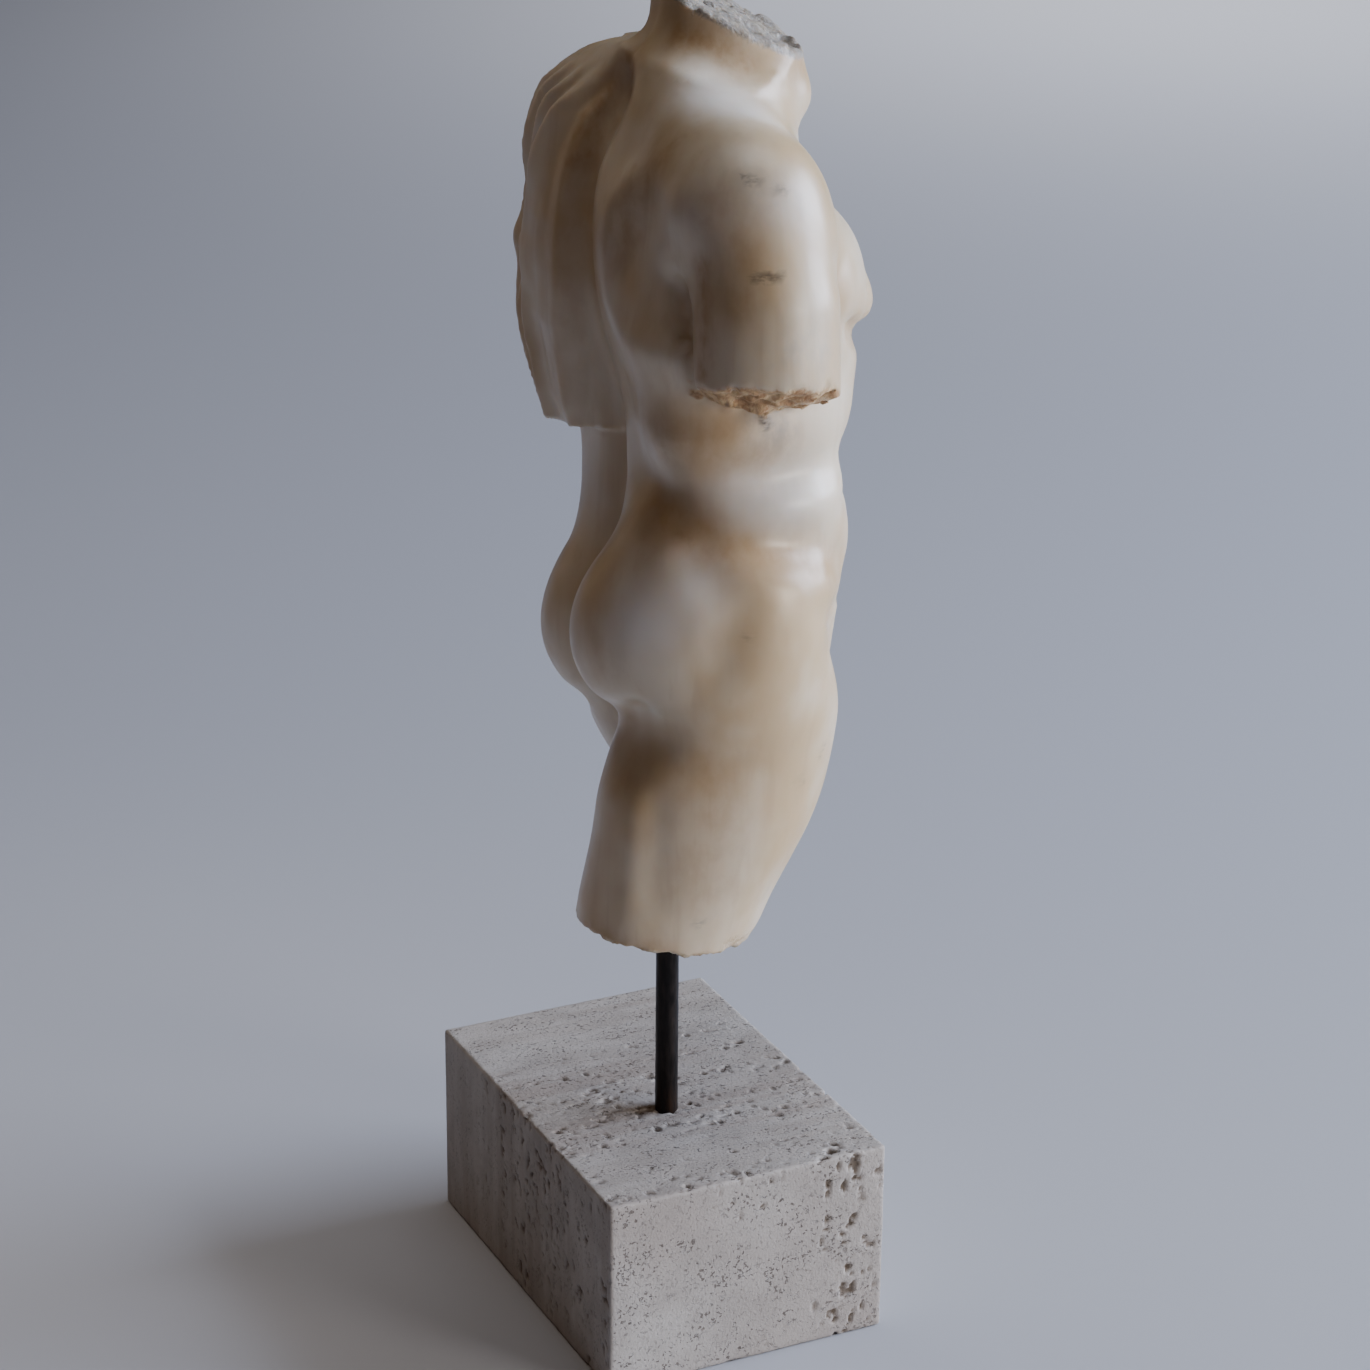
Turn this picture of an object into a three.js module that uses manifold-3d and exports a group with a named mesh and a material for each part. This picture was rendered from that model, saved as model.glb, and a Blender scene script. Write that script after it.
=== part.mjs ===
// A marble male torso with a cloak over its left shoulder, held on a steel rod above a travertine block.
// Millimetres, +Z up. The figure faces -Y and its right side is towards -X. The origin is the centre
// of the block's underside.
import * as THREE from "three";
import { RoundedBoxGeometry } from "three/addons/geometries/RoundedBoxGeometry.js";
import { mergeVertices } from "three/addons/utils/BufferGeometryUtils.js";
import Module from "manifold-3d";

const wasm = await Module();
wasm.setup();

// Driving sizes
const BLOCK_WIDTH = 209;
const BLOCK_DEPTH = 150;
const BLOCK_HEIGHT = 102;
const BLOCK_ARRIS = 1.2;
const ROD_DIAMETER = 11.6;
const ROD_TO_RIGHT = 23;
const ROD_TO_BACK = 6.5;
const ROD_SHOWING = 105;
const ROD_IN_BLOCK = 60;
const ROD_IN_TORSO = 70;
const HOLE_CLEARANCE = 0.3;
const TORSO_HEIGHT = 457;

// The carving is laid out in a figure 457 units tall from the rod's entry to the top of the neck.
// Its x and y start under the middle of the figure, and the rod enters it at ROD_ENTRY.
const LAYOUT_HEIGHT = 457;
const ROD_ENTRY = [-23, 6.5, 0];
const CARVING_SCALE = TORSO_HEIGHT / LAYOUT_HEIGHT;

// The pose: how far the pelvis and the chest are shifted, turned about the vertical and tilted sideways
const POSE_FROM = 175;
const POSE_TO = 295;
const PELVIS = { shift: -3, turn: -13, tilt: 0.3 };
const CHEST = { shift: 2, turn: 0, tilt: -0.1 };

// Trunk sections: height, middle y, half width, depth to the front, depth to the back, squareness
const TRUNK = [
  [62, -24, 56, 34, 30, 2.2],
  [90, -26, 76, 46, 40, 2.3],
  [130, -28, 84, 45, 44, 2.3],
  [170, -30, 84, 53, 48, 2.4],
  [205, -31, 78, 51, 53, 2.5],
  [235, -29, 74, 39, 52, 2.5],
  [270, -27, 78, 47, 54, 2.4],
  [310, -22, 83, 64, 60, 2.3],
  [345, -14, 85, 60, 56, 2.3],
  [375, -10, 76, 50, 50, 2.2],
  [398, -12, 60, 38, 40, 2.1],
  [418, -20, 44, 26, 28, 2],
];

// Sections of the thighs and the neck: height, middle x and y, half width, depth to the front and the back
const RIGHT_THIGH = [
  [165, -42, -24, 40, 41, 42],
  [120, -42, -20, 45, 50, 55],
  [80, -39, -13, 46, 53, 60],
  [50, -35, -7, 45, 50, 57],
  [20, -30, 2, 43, 45, 52],
  [0, -27, 8, 42, 44, 48],
  [-30, -24, 16, 41, 42, 47],
];
const LEFT_THIGH = [
  [165, 36, -30, 42, 42, 42],
  [120, 42, -34, 46, 48, 58],
  [80, 46, -44, 46, 48, 60],
  [50, 48, -54, 45, 46, 50],
  [20, 50, -64, 43, 45, 46],
  [-30, 52, -80, 41, 43, 43],
];
const NECK = [
  [385, 0, -27, 38, 23, 35],
  [405, 0, -32, 34, 21, 38],
  [430, 0, -35, 33, 30, 39],
  [480, 0, -40, 35, 38, 40],
];
const CLOAK = [
  [424, 42, -8, 6, 6, 6],
  [420, 44, -8, 17, 12, 11.5],
  [413, 48, -7, 27, 20, 19],
  [400, 54, -6, 40, 30, 31.5],
  [375, 60, -4, 47, 39, 38.5],
  [345, 62, -4, 48, 42, 36],
  [315, 62, -4, 48, 41, 36],
  [290, 61, -3, 48, 38, 40],
  [265, 57, 0, 41, 32, 34],
  [238, 50, 3, 32, 24, 26],
];

// Rounded masses: soft joint, middle, radii, turn about x, y and z in degrees.
// Those of PAIRS are in the unposed trunk and are mirrored to both sides.
const PAIRS = {
  pectoral: [18, [38, -57, 324], [42, 24, 32], [12, 0, 22]],
  pectoralOuter: [20, [61, -38, 340], [28, 20, 26], [0, 25, 40]],
  nipple: [8, [50, -77, 318], [8, 6, 8], [0, 0, 20]],
  ribs: [24, [38, -32, 268], [38, 40, 48], [0, 0, 0]],
  oblique: [18, [60, -30, 222], [22, 34, 22], [-6, 8, 0]],
  scapula: [16, [44, 18, 342], [32, 22, 44], [6, 0, -10]],
  teres: [14, [68, 12, 318], [22, 24, 24], [0, -20, 0]],
  lat: [26, [56, 0, 290], [26, 34, 52], [0, -12, 0]],
  erector: [10, [22, 4, 226], [17, 15, 66], [-4, 0, 0]],
  buttock: [16, [37, 13, 151], [40, 40, 46], [-8, 0, 10]],
  gluteus: [24, [44, -4, 178], [36, 34, 46], [-14, 0, 0]],
  hip: [24, [60, -14, 142], [32, 42, 56], [0, 0, 0]],
  trapezius: [18, [38, 2, 400], [44, 22, 20], [0, 28, 0]],
};
const MASSES = {
  belly: [16, [-2, -46, 197], [48, 39, 48], [0, 0, 0]],
  leftLoin: [24, [36, -11, 208], [30, 24, 50], [-6, 0, 0]],
  throat: [14, [-3, -55, 404], [25, 14, 15], [20, 0, 0]],
};

// The right arm: middles and radii down it, and how softly it meets the trunk low down and at the shoulder
const RIGHT_ARM = { path: [[-82, -4, 370], [-95, -5, 330], [-101, -5, 250]], radius: [33, 33.5, 33] };
const ARM_SOFT = [5, 38, 322, 370];

// Grooves, and ridges where the depth is negative: depth, half breadth, path.
// Those of PAIR_STROKES are in the unposed trunk and are mirrored to both sides.
const PAIR_STROKES = {
  midline: [3.5, 7, [[0, -86, 385], [0, -94, 320], [0, -84, 250], [0, -80, 185]]],
  pectoralEdge: [4.5, 7, [[6, -90, 303], [38, -86, 297], [66, -66, 308], [80, -40, 332]]],
  ribArch: [2.5, 9, [[10, -88, 284], [32, -80, 262], [52, -70, 247]]],
  ribGroove: [2.2, 14, [[76, -54, 234], [84, -29, 239], [83, 0, 248], [72, 18, 252]]],
  rectusEdge: [2, 7, [[33, -76, 254], [37, -74, 215], [30, -76, 175]]],
  iliac: [3.2, 12, [[71, 16, 210], [84, -3, 201], [88, -22, 194], [86, -42, 189], [78, -62, 184],
            [62, -73, 178]]],
  iliacFront: [2, 11, [[38, -80, 163], [18, -82, 146]]],
  groin: [4.5, 10, [[72, -48, 150], [58, -60, 146], [34, -76, 114], [12, -80, 98]]],
  spine: [9, 9, [[0, 24, 408], [0, 44, 350], [0, 40, 300], [0, 20, 240], [0, 22, 210]]],
  cleft: [12, 6, [[0, 26, 198], [0, 50, 160], [0, 34, 118]]],
  glutealFold: [3.5, 8, [[8, 36, 108], [38, 40, 106], [62, 24, 113]]],
  clavicle: [-1.4, 9, [[12, -58, 378], [46, -46, 392], [78, -20, 396]]],
  bladeRim: [-2.5, 10, [[40, 35, 380], [32, 45, 362], [31, 45, 348], [36, 45, 326], [50, 44, 314],
              [80, 38, 316]]],
  bladeHollow: [4.5, 15, [[66, 37, 374], [54, 40, 362], [45, 43, 347]]],
  teresRidge: [-1.5, 11, [[88, 28, 388], [74, 35, 372], [60, 37, 352], [56, 40, 336]]],
  armpit: [2.2, 13, [[90, 28, 365], [86, 32, 345], [84, 33, 330]]],
  flankHollow: [1.5, 15, [[52, 38, 284], [74, 26, 284]]],
  buttockSide: [2.5, 14, [[84, 7, 190], [95, -12, 158], [92, -6, 134]]],
  underButtock: [2.5, 15, [[66, 19, 99], [56, 24, 104], [50, 27, 90]]],
};
const STROKES = {
  navel: [6, 5, [[-2, -84, 206]]],
  hamstring: [1.5, 9, [[-65, 33, 80], [-64, 33, 59], [-63, 33, 34]]],
  hamstringTendon: [-1.1, 9, [[-60, 42, 81], [-59, 42, 53], [-57, 42, 20]]],
  thighFront: [2, 10, [[-58, -34, 48], [-50, -12, 20]]],
  wornCorner: [2.2, 7, [[-66, -8, -3], [-52, -27, -6], [-30, -36, -9]]],
  underCloak: [9, 18, [[68, 34, 362], [66, 38, 316]]],
  underCloakTop: [7, 15, [[52, -12, 424], [44, 0, 428], [24, 4, 434]]],
};

// The part of the cloak that falls over the left blade: middles and radii down it
const BLADE_DRAPE = {
  path: [[24, 6, 410], [27, 20, 385], [30, 26, 345], [31, 26, 300], [33, 22, 262], [35, 18, 236]],
  radius: [13, 20, 23, 23, 19, 14],
};
const CLOAK_THICK = 2.5;
const CLOAK_FROM_SPINE = [0, 14];
const CLOAK_FRONT_EDGE = [[236, 46], [300, 36], [360, 27], [430, 20]];
const HEM = { height: 240, slope: [-0.1, 0.05], at: [50, 0] };

// Folds of the cloak: rise, half breadth in degrees, and where each lies at the hem, half way up, at the
// shoulder's crest and at its top, in degrees about the cloak's middle from straight back towards the arm
const FOLDS_AT = [245, 335, 398, 424];
const FOLDS_DIE = [424, 398];
const FOLD_LEAN = [0.6, 1.3];
const FOLDS = [
  [2.5, 12, [-60, -64, -62, -70]],
  [3.5, 12, [-38, -42, -49, -64]],
  [6, 12, [-6, -8, -26, -47]],
  [5.5, 11, [14, 13, -6, -30]],
  [5, 11, [31, 30, 22, -5]],
  [4.5, 11, [51, 51, 44, 20]],
  [5, 12, [70, 71, 66, 44]],
  [5, 12, [90, 91, 88, 72]],
  [5, 12, [102, 110, 110, 100]],
  [5, 12, [126, 133, 132, 126]],
  [4.5, 12, [150, 156, 155, 152]],
  [4, 12, [174, 180, 180, 180]],
  [3.5, 12, [196, 204, 206, 210]],
];

// Breaks, each a slanting plane with worn edges: height, slope along x, slope along y, and where they start
const BREAK_SOFT = 2.5;
const NECK_BREAK = { height: 456, slope: [0.18, 0.46], at: [0, 0] };
const ARM_BREAK = { height: 292, slope: [-0.3, 0.14], at: [-98, 0] };
const ARM_CORE = { drop: 9, middle: [-99, -5], radius: 34 };
const RIGHT_BREAK = { height: -1, slope: [0, 0.19], at: [0, 8] };
const LEFT_BREAK = { height: 36, slope: [0, -0.35], at: [0, -60] };

// Chips on the breaks: size and height
const ARM_CHIPS = [[10, 4.5], [4.5, 2]];
const NECK_CHIPS = [[14, 3.4], [5.5, 1.2]];
const THIGH_CHIPS = [[9, 2.4], [4, 1.2]];

// Ochre stains where damp and dust lay longest: strength, breadth, path
const STAINS = {
  cloakTop: [0.8, 12, [[3, 17, 420], [9, 27, 402], [9, 39, 380]]],
  cloakValley: [0.3, 14, [[9, 42, 370], [6, 46, 330], [4, 44, 270]]],
  bladeHollow: [0.55, 14, [[-36, 41, 347], [-44, 38, 372], [-58, 26, 396]]],
  flank: [0.5, 22, [[-70, 30, 262], [-84, 12, 266], [-88, -10, 262]]],
  furrowBack: [0.8, 9, [[-53, 27, 229], [-61, 24, 226]]],
  furrow: [0.4, 11, [[-61, 24, 226], [-74, 16, 219], [-84, 5, 213], [-90, -12, 208], [-89, -30, 204],
              [-84, -58, 198]]],
  buttockSide: [0.2, 16, [[-50, 57, 168], [-52, 57, 150]]],
  underButtock: [0.25, 14, [[-42, 36, 116], [-52, 31, 112]]],
  backOfThigh: [0.25, 14, [[-65, 33, 70], [-64, 33, 40]]],
  stump: [0.8, 12, [[-40, 50, 2], [-62, 34, 2]]],
  underNeckRim: [0.8, 10, [[-18, 2, 438], [-26, -8, 434], [-36, -22, 425]]],
  neckFront: [0.6, 12, [[-33, -48, 428], [-28, -56, 420]]],
  armBack: [0.8, 8, [[-97, 27, 350], [-99, 27, 335], [-101, 26, 300]]],
  chestSide: [0.4, 16, [[-84, -40, 300], [-80, -44, 330]]],
};
// Dark mineral spots and short veins in the stone, and the grey veils round them
const SPOTS = {
  shoulder: [1.0, 1.7, [[-102.5, 11, 393], [-105, 9, 391], [-107.5, 6, 391]]],
  shoulderDots: [0.7, 1.6, [[-111, -3, 387], [-112, -6, 386]]],
  arm: [1.0, 1.6, [[-118.5, 12, 351], [-121, 7, 351.5], [-123, 2, 350]]],
  flank: [0.9, 2.2, [[-89, -8, 277], [-88.5, -10, 271]]],
  hip: [0.35, 1.3, [[-100, 6, 174], [-100, -1, 172]]],
  thighHigh: [0.45, 1.5, [[-77, -49, 102], [-78, -48, 99]]],
  thighLow: [0.4, 1.5, [[-82, -37, 89], [-84, -32, 90]]],
  thighEnd: [0.4, 1.5, [[-72, 15, 20], [-72, 11, 18]]],
};
const VEILS = {
  flank: [0.9, 10, [[-89, -6, 276], [-88, -16, 268]]],
  shoulder: [0.4, 12, [[-105, 8, 391], [-110, -4, 385]]],
  armEnd: [0.5, 16, [[-124, -4, 318], [-122, -16, 316]]],
};
// Where the stone is rubbed pale by hands and cloths
const RUBBED = {
  buttock: [1.0, 21, [[-74, 40, 184], [-84, 26, 198]]],
  shoulderSlope: [1.0, 15, [[-44, 2, 414], [-58, -12, 408]]],
  shoulder: [0.6, 15, [[-92, 22, 375], [-112, -6, 380]]],
  loin: [0.8, 16, [[-80, 2, 236], [-88, -24, 234]]],
  blade: [0.5, 12, [[-30, 46, 340], [-36, 46, 320]]],
};

// Grid over the carving: its cells, finer where the cloak is, and how far it goes past the marble
const CELL = 9.8;
const FOLD_CELL = 5.6;
const RISE_CELL = 11.5;
const MARGIN = 30;

const ease = (v, low, high) => {
  const t = Math.min(1, Math.max(0, (v - low) / (high - low)));
  return t * t * (3 - 2 * t);
};
const mix = (a, b, t) => a + (b - a) * t;

// A straight line from row to row of a table whose first column rises
function between(rows, v) {
  let i = 0;
  while (i < rows.length - 2 && v > rows[i + 1][0]) i++;
  const t = Math.min(1, Math.max(0, (v - rows[i][0]) / (rows[i + 1][0] - rows[i][0])));
  return mix(rows[i][1], rows[i + 1][1], t);
}

// Soft union: the smaller of two fields, rounded where they meet
function join(a, b, soft) {
  const h = Math.max(soft - Math.abs(a - b), 0) / soft;
  return Math.min(a, b) - h * h * soft * 0.25;
}

// What is left of the field a where b cuts it, with a worn edge
const broken = (a, b) => -join(-a, -b, BREAK_SOFT);

// A smooth curve through the rows of a table whose first column falls or rises
function section(table, z) {
  const rows = table[0][0] < table[table.length - 1][0] ? table : [...table].reverse();
  const n = rows.length;
  let i = 0;
  while (i < n - 2 && z > rows[i + 1][0]) i++;
  const [a, b, c, d] = [rows[Math.max(i - 1, 0)], rows[i], rows[i + 1], rows[Math.min(i + 2, n - 1)]];
  const span = c[0] - b[0];
  const t = Math.min(1, Math.max(0, (z - b[0]) / span));
  const t2 = t * t;
  const t3 = t2 * t;
  return b.map((_, k) => {
    const m0 = ((c[k] - a[k]) / (c[0] - a[0])) * span;
    const m1 = ((d[k] - b[k]) / (d[0] - b[0])) * span;
    const far = 3 * t2 - 2 * t3;
    return (1 - far) * b[k] + (t3 - 2 * t2 + t) * m0 + far * c[k] + (t3 - t2) * m1;
  });
}

// A field that is zero on a superellipse of the given half sizes
function oval(x, y, wide, front, back, square) {
  const deep = y < 0 ? front : back;
  const ratio = (Math.abs(x / wide) ** square + Math.abs(y / deep) ** square) ** (1 / square);
  return (ratio - 1) * Math.min(wide, (front + back) / 2);
}

const capped = (field, z, low, high) => Math.max(field, low - z, z - high);

// A rounded mass: the soft joint it takes, and its field
function mass([soft, middle, r, turn]) {
  const e = new THREE.Euler(...turn.map(THREE.MathUtils.degToRad), "XYZ");
  const m = new THREE.Matrix4().makeRotationFromEuler(e).transpose().elements;
  const at = (x, y, z) => {
    const [dx, dy, dz] = [x - middle[0], y - middle[1], z - middle[2]];
    const q = [0, 1, 2].map((k) => (m[k] * dx + m[k + 4] * dy + m[k + 8] * dz) / r[k]);
    const k0 = Math.hypot(...q);
    const k1 = Math.hypot(q[0] / r[0], q[1] / r[1], q[2] / r[2]);
    return k1 > 1e-9 ? (k0 * (k0 - 1)) / k1 : -Math.min(...r);
  };
  return { soft, at };
}

// Squared distance from a point to the segment from a to b, and how far along it that is
function toSegment(x, y, z, a, b) {
  const [bx, by, bz] = [b[0] - a[0], b[1] - a[1], b[2] - a[2]];
  const [px, py, pz] = [x - a[0], y - a[1], z - a[2]];
  const length2 = bx * bx + by * by + bz * bz || 1;
  const t = Math.min(1, Math.max(0, (px * bx + py * by + pz * bz) / length2));
  return [(px - bx * t) ** 2 + (py - by * t) ** 2 + (pz - bz * t) ** 2, t];
}

// A limb of round section along a path, its radius changing from station to station
function limb({ path, radius }, x, y, z) {
  let best = Infinity;
  for (let i = 0; i + 1 < path.length; i++) {
    const [d2, t] = toSegment(x, y, z, path[i], path[i + 1]);
    best = Math.min(best, Math.sqrt(d2) - mix(radius[i], radius[i + 1], t));
  }
  return best;
}

// How near a point is to a stroke, from 0 to 1 on it
function near(path, breadth, x, y, z) {
  let best = Infinity;
  for (let i = 0; i < Math.max(1, path.length - 1); i++)
    best = Math.min(best, toSegment(x, y, z, path[i], path[Math.min(i + 1, path.length - 1)])[0]);
  return Math.exp(-best / (breadth * breadth));
}

// The height of a slanting plane over a place
const plane = ({ height, slope, at }, x, y) => height + slope[0] * (x - at[0]) + slope[1] * (y - at[1]);

const pairs = Object.values(PAIRS).map(mass);
const masses = Object.values(MASSES).map(mass);
const pairStrokes = Object.values(PAIR_STROKES);
const strokes = Object.values(STROKES);

// Takes a point of the posed figure back to the upright, symmetric trunk
function unposed(x, y, z) {
  const t = ease(z, POSE_FROM, POSE_TO);
  const turn = THREE.MathUtils.degToRad(mix(PELVIS.turn, CHEST.turn, t));
  const sx = x - mix(PELVIS.shift, CHEST.shift, t);
  const [c, s] = [Math.cos(turn), Math.sin(turn)];
  return [c * sx + s * y, -s * sx + c * y, z + x * mix(PELVIS.tilt, CHEST.tilt, t)];
}

// How far the cloak's folds stand up at a point
function folds(x, y, z) {
  const [, mx, my] = section(CLOAK, z);
  const angle = THREE.MathUtils.radToDeg(Math.atan2(x - mx, y - my));
  let rise = 0;
  for (const [most, breadth, lie] of FOLDS) {
    const here = between(FOLDS_AT.map((height, k) => [height, lie[k]]), z);
    const off = ((angle - here + 540) % 360) - 180;
    const reach = off / breadth / (off > 0 ? FOLD_LEAN[0] : FOLD_LEAN[1]);
    const round = Math.sqrt(reach * reach + 0.012) - 0.11;
    rise = Math.max(rise, most * Math.min(1, Math.max(0, 1 - round)) ** 1.4);
  }
  return rise * ease(z, ...FOLDS_DIE);
}

// The body with the cloak over it
function draped(x, y, z, body) {
  const [, mx, my, wide, front, back] = section(CLOAK, z);
  const bulk = Math.max(oval(x - mx, y - my, wide, front, back, 2.1), z - CLOAK[0][0]);
  let f = join(bulk, limb(BLADE_DRAPE, x, y, z), 14);
  f = join(f, body - CLOAK_THICK, 10);
  if (f < 15) f -= folds(x, y, z);
  const frontEdge = y < 0 ? between(CLOAK_FRONT_EDGE, z) - x : -99;
  f = Math.max(f, frontEdge, plane(HEM, x, y) - z);
  return mix(body, join(body, f, 2), ease(x, ...CLOAK_FROM_SPINE));
}

// The carving's field: below zero in the marble, and about the distance to its surface elsewhere
function figure(x, y, z) {
  const [u, v, w] = unposed(x, y, z);
  const mu = Math.abs(u);
  const [, midY, wide, front, back, square] = section(TRUNK, w);
  const top = TRUNK[TRUNK.length - 1][0];
  let f = capped(oval(u, v - midY, wide, front, back, square), w, TRUNK[0][0], top);
  for (const p of pairs) f = join(f, p.at(mu, v, w), p.soft);
  for (const [table, stop] of [[RIGHT_THIGH, RIGHT_BREAK], [LEFT_THIGH, LEFT_BREAK]]) {
    const [, tx, ty, tw, tf, tb] = section(table, z);
    const thigh = capped(oval(x - tx, y - ty, tw, tf, tb, 2), z, stop.height - 60, table[0][0]);
    f = join(f, broken(thigh, plane(stop, x, y) - z), 10);
  }
  for (const p of masses) f = join(f, p.at(x, y, z), p.soft);
  const [, nx, ny, nw, nf, nb] = section(NECK, z);
  const above = NECK_BREAK.height + 2 * MARGIN;
  const neck = capped(oval(x - nx, y - ny, nw, nf, nb, 2), z, NECK[0][0] - 15, above);
  f = join(f, neck, 24);
  const [ax, ay] = ARM_CORE.middle;
  const core = 1 - ((x - ax) ** 2 + (y - ay) ** 2) / ARM_CORE.radius ** 2;
  const stop = plane(ARM_BREAK, x, y) - ARM_CORE.drop * Math.min(1, Math.max(-0.5, core));
  const arm = broken(limb(RIGHT_ARM, x, y, z), (stop - z) * 0.85);
  f = join(f, arm, mix(ARM_SOFT[0], ARM_SOFT[1], ease(z, ARM_SOFT[2], ARM_SOFT[3])));
  if (f < 25) {
    for (const [depth, breadth, path] of pairStrokes) f += depth * near(path, breadth, mu, v, w);
    for (const [depth, breadth, path] of strokes) f += depth * near(path, breadth, x, y, z);
  }
  if (x > CLOAK_FROM_SPINE[0]) f = draped(x, y, z, f);
  return broken(f, (z - plane(NECK_BREAK, x, y)) * 0.88);
}

// Where only two corners across a face or across a cell are inside, the skin would touch itself,
// so the weakest of those corners changes side
function untangled(value, nx, ny, nz) {
  const steps = [1, nx, nx * ny];
  const inside = (n) => value[n] < 0;
  const pick = (corners) => {
    const weakest = corners.reduce((a, b) => (Math.abs(value[b]) < Math.abs(value[a]) ? b : a));
    value[weakest] = value[weakest] < 0 ? 1e-3 : -1e-3;
  };
  for (let pass = 0, changed = true; changed && pass < 20; pass++) {
    changed = false;
    for (let k = 1; k + 2 < nz; k++)
      for (let j = 1; j + 2 < ny; j++)
        for (let i = 1; i + 2 < nx; i++) {
          const n = (k * ny + j) * nx + i;
          for (let axis = 0; axis < 3; axis++) {
            const [p, q] = [steps[axis], steps[(axis + 1) % 3]];
            const [a, b, c, d] = [n, n + p, n + p + q, n + q];
            if (inside(a) !== inside(c) || inside(b) !== inside(d) || inside(a) === inside(b)) continue;
            pick([a, b, c, d]);
            changed = true;
          }
          for (const start of [0, 1, 2, 3]) {
            const a = n + (start & 1) + ((start >> 1) & 1) * nx;
            const b = n + (1 - (start & 1)) + (1 - ((start >> 1) & 1)) * nx + nx * ny;
            if (inside(a) !== inside(b)) continue;
            let alike = 0;
            for (let e = 0; e < 8; e++)
              alike += inside(n + (e & 1) + ((e >> 1) & 1) * nx + (e >> 2) * nx * ny) === inside(a);
            if (alike !== 2) continue;
            pick([a, b]);
            changed = true;
          }
        }
  }
  return value;
}

function slopeOf(field, x, y, z) {
  const f = field(x, y, z);
  const step = 0.4;
  const g = [field(x + step, y, z) - f, field(x, y + step, z) - f, field(x, y, z + step) - f];
  return [f, g.map((v) => v / step)];
}

// Draws a point onto the field's surface along the steepest way
function settled(field, point, passes) {
  let [x, y, z] = point;
  for (let pass = 0; pass < passes; pass++) {
    const [f, g] = slopeOf(field, x, y, z);
    const step = -f / Math.max(0.2, g[0] ** 2 + g[1] ** 2 + g[2] ** 2);
    const short = Math.min(1, 1.5 / Math.max(1e-6, Math.abs(step) * Math.hypot(...g)));
    x += step * short * g[0];
    y += step * short * g[1];
    z += step * short * g[2];
  }
  return [x, y, z];
}

// The point of a cell that lies best on the surface's slopes where they cross the cell's edges,
// so that crests and grooves keep their line
function fitted(crossings, low, high) {
  const middle = [0, 1, 2].map((k) => crossings.reduce((sum, c) => sum + c.at[k], 0) / crossings.length);
  const a = new THREE.Matrix3().set(0.12, 0, 0, 0, 0.12, 0, 0, 0, 0.12);
  const b = new THREE.Vector3();
  for (const { at, normal: n } of crossings) {
    const d = n[0] * (at[0] - middle[0]) + n[1] * (at[1] - middle[1]) + n[2] * (at[2] - middle[2]);
    for (let r = 0; r < 3; r++) for (let c = 0; c < 3; c++) a.elements[c * 3 + r] += n[r] * n[c];
    b.add(new THREE.Vector3(...n).multiplyScalar(d));
  }
  const move = b.applyMatrix3(a.invert()).toArray();
  return middle.map((m, k) => Math.min(high[k], Math.max(low[k], m + move[k])));
}

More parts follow.
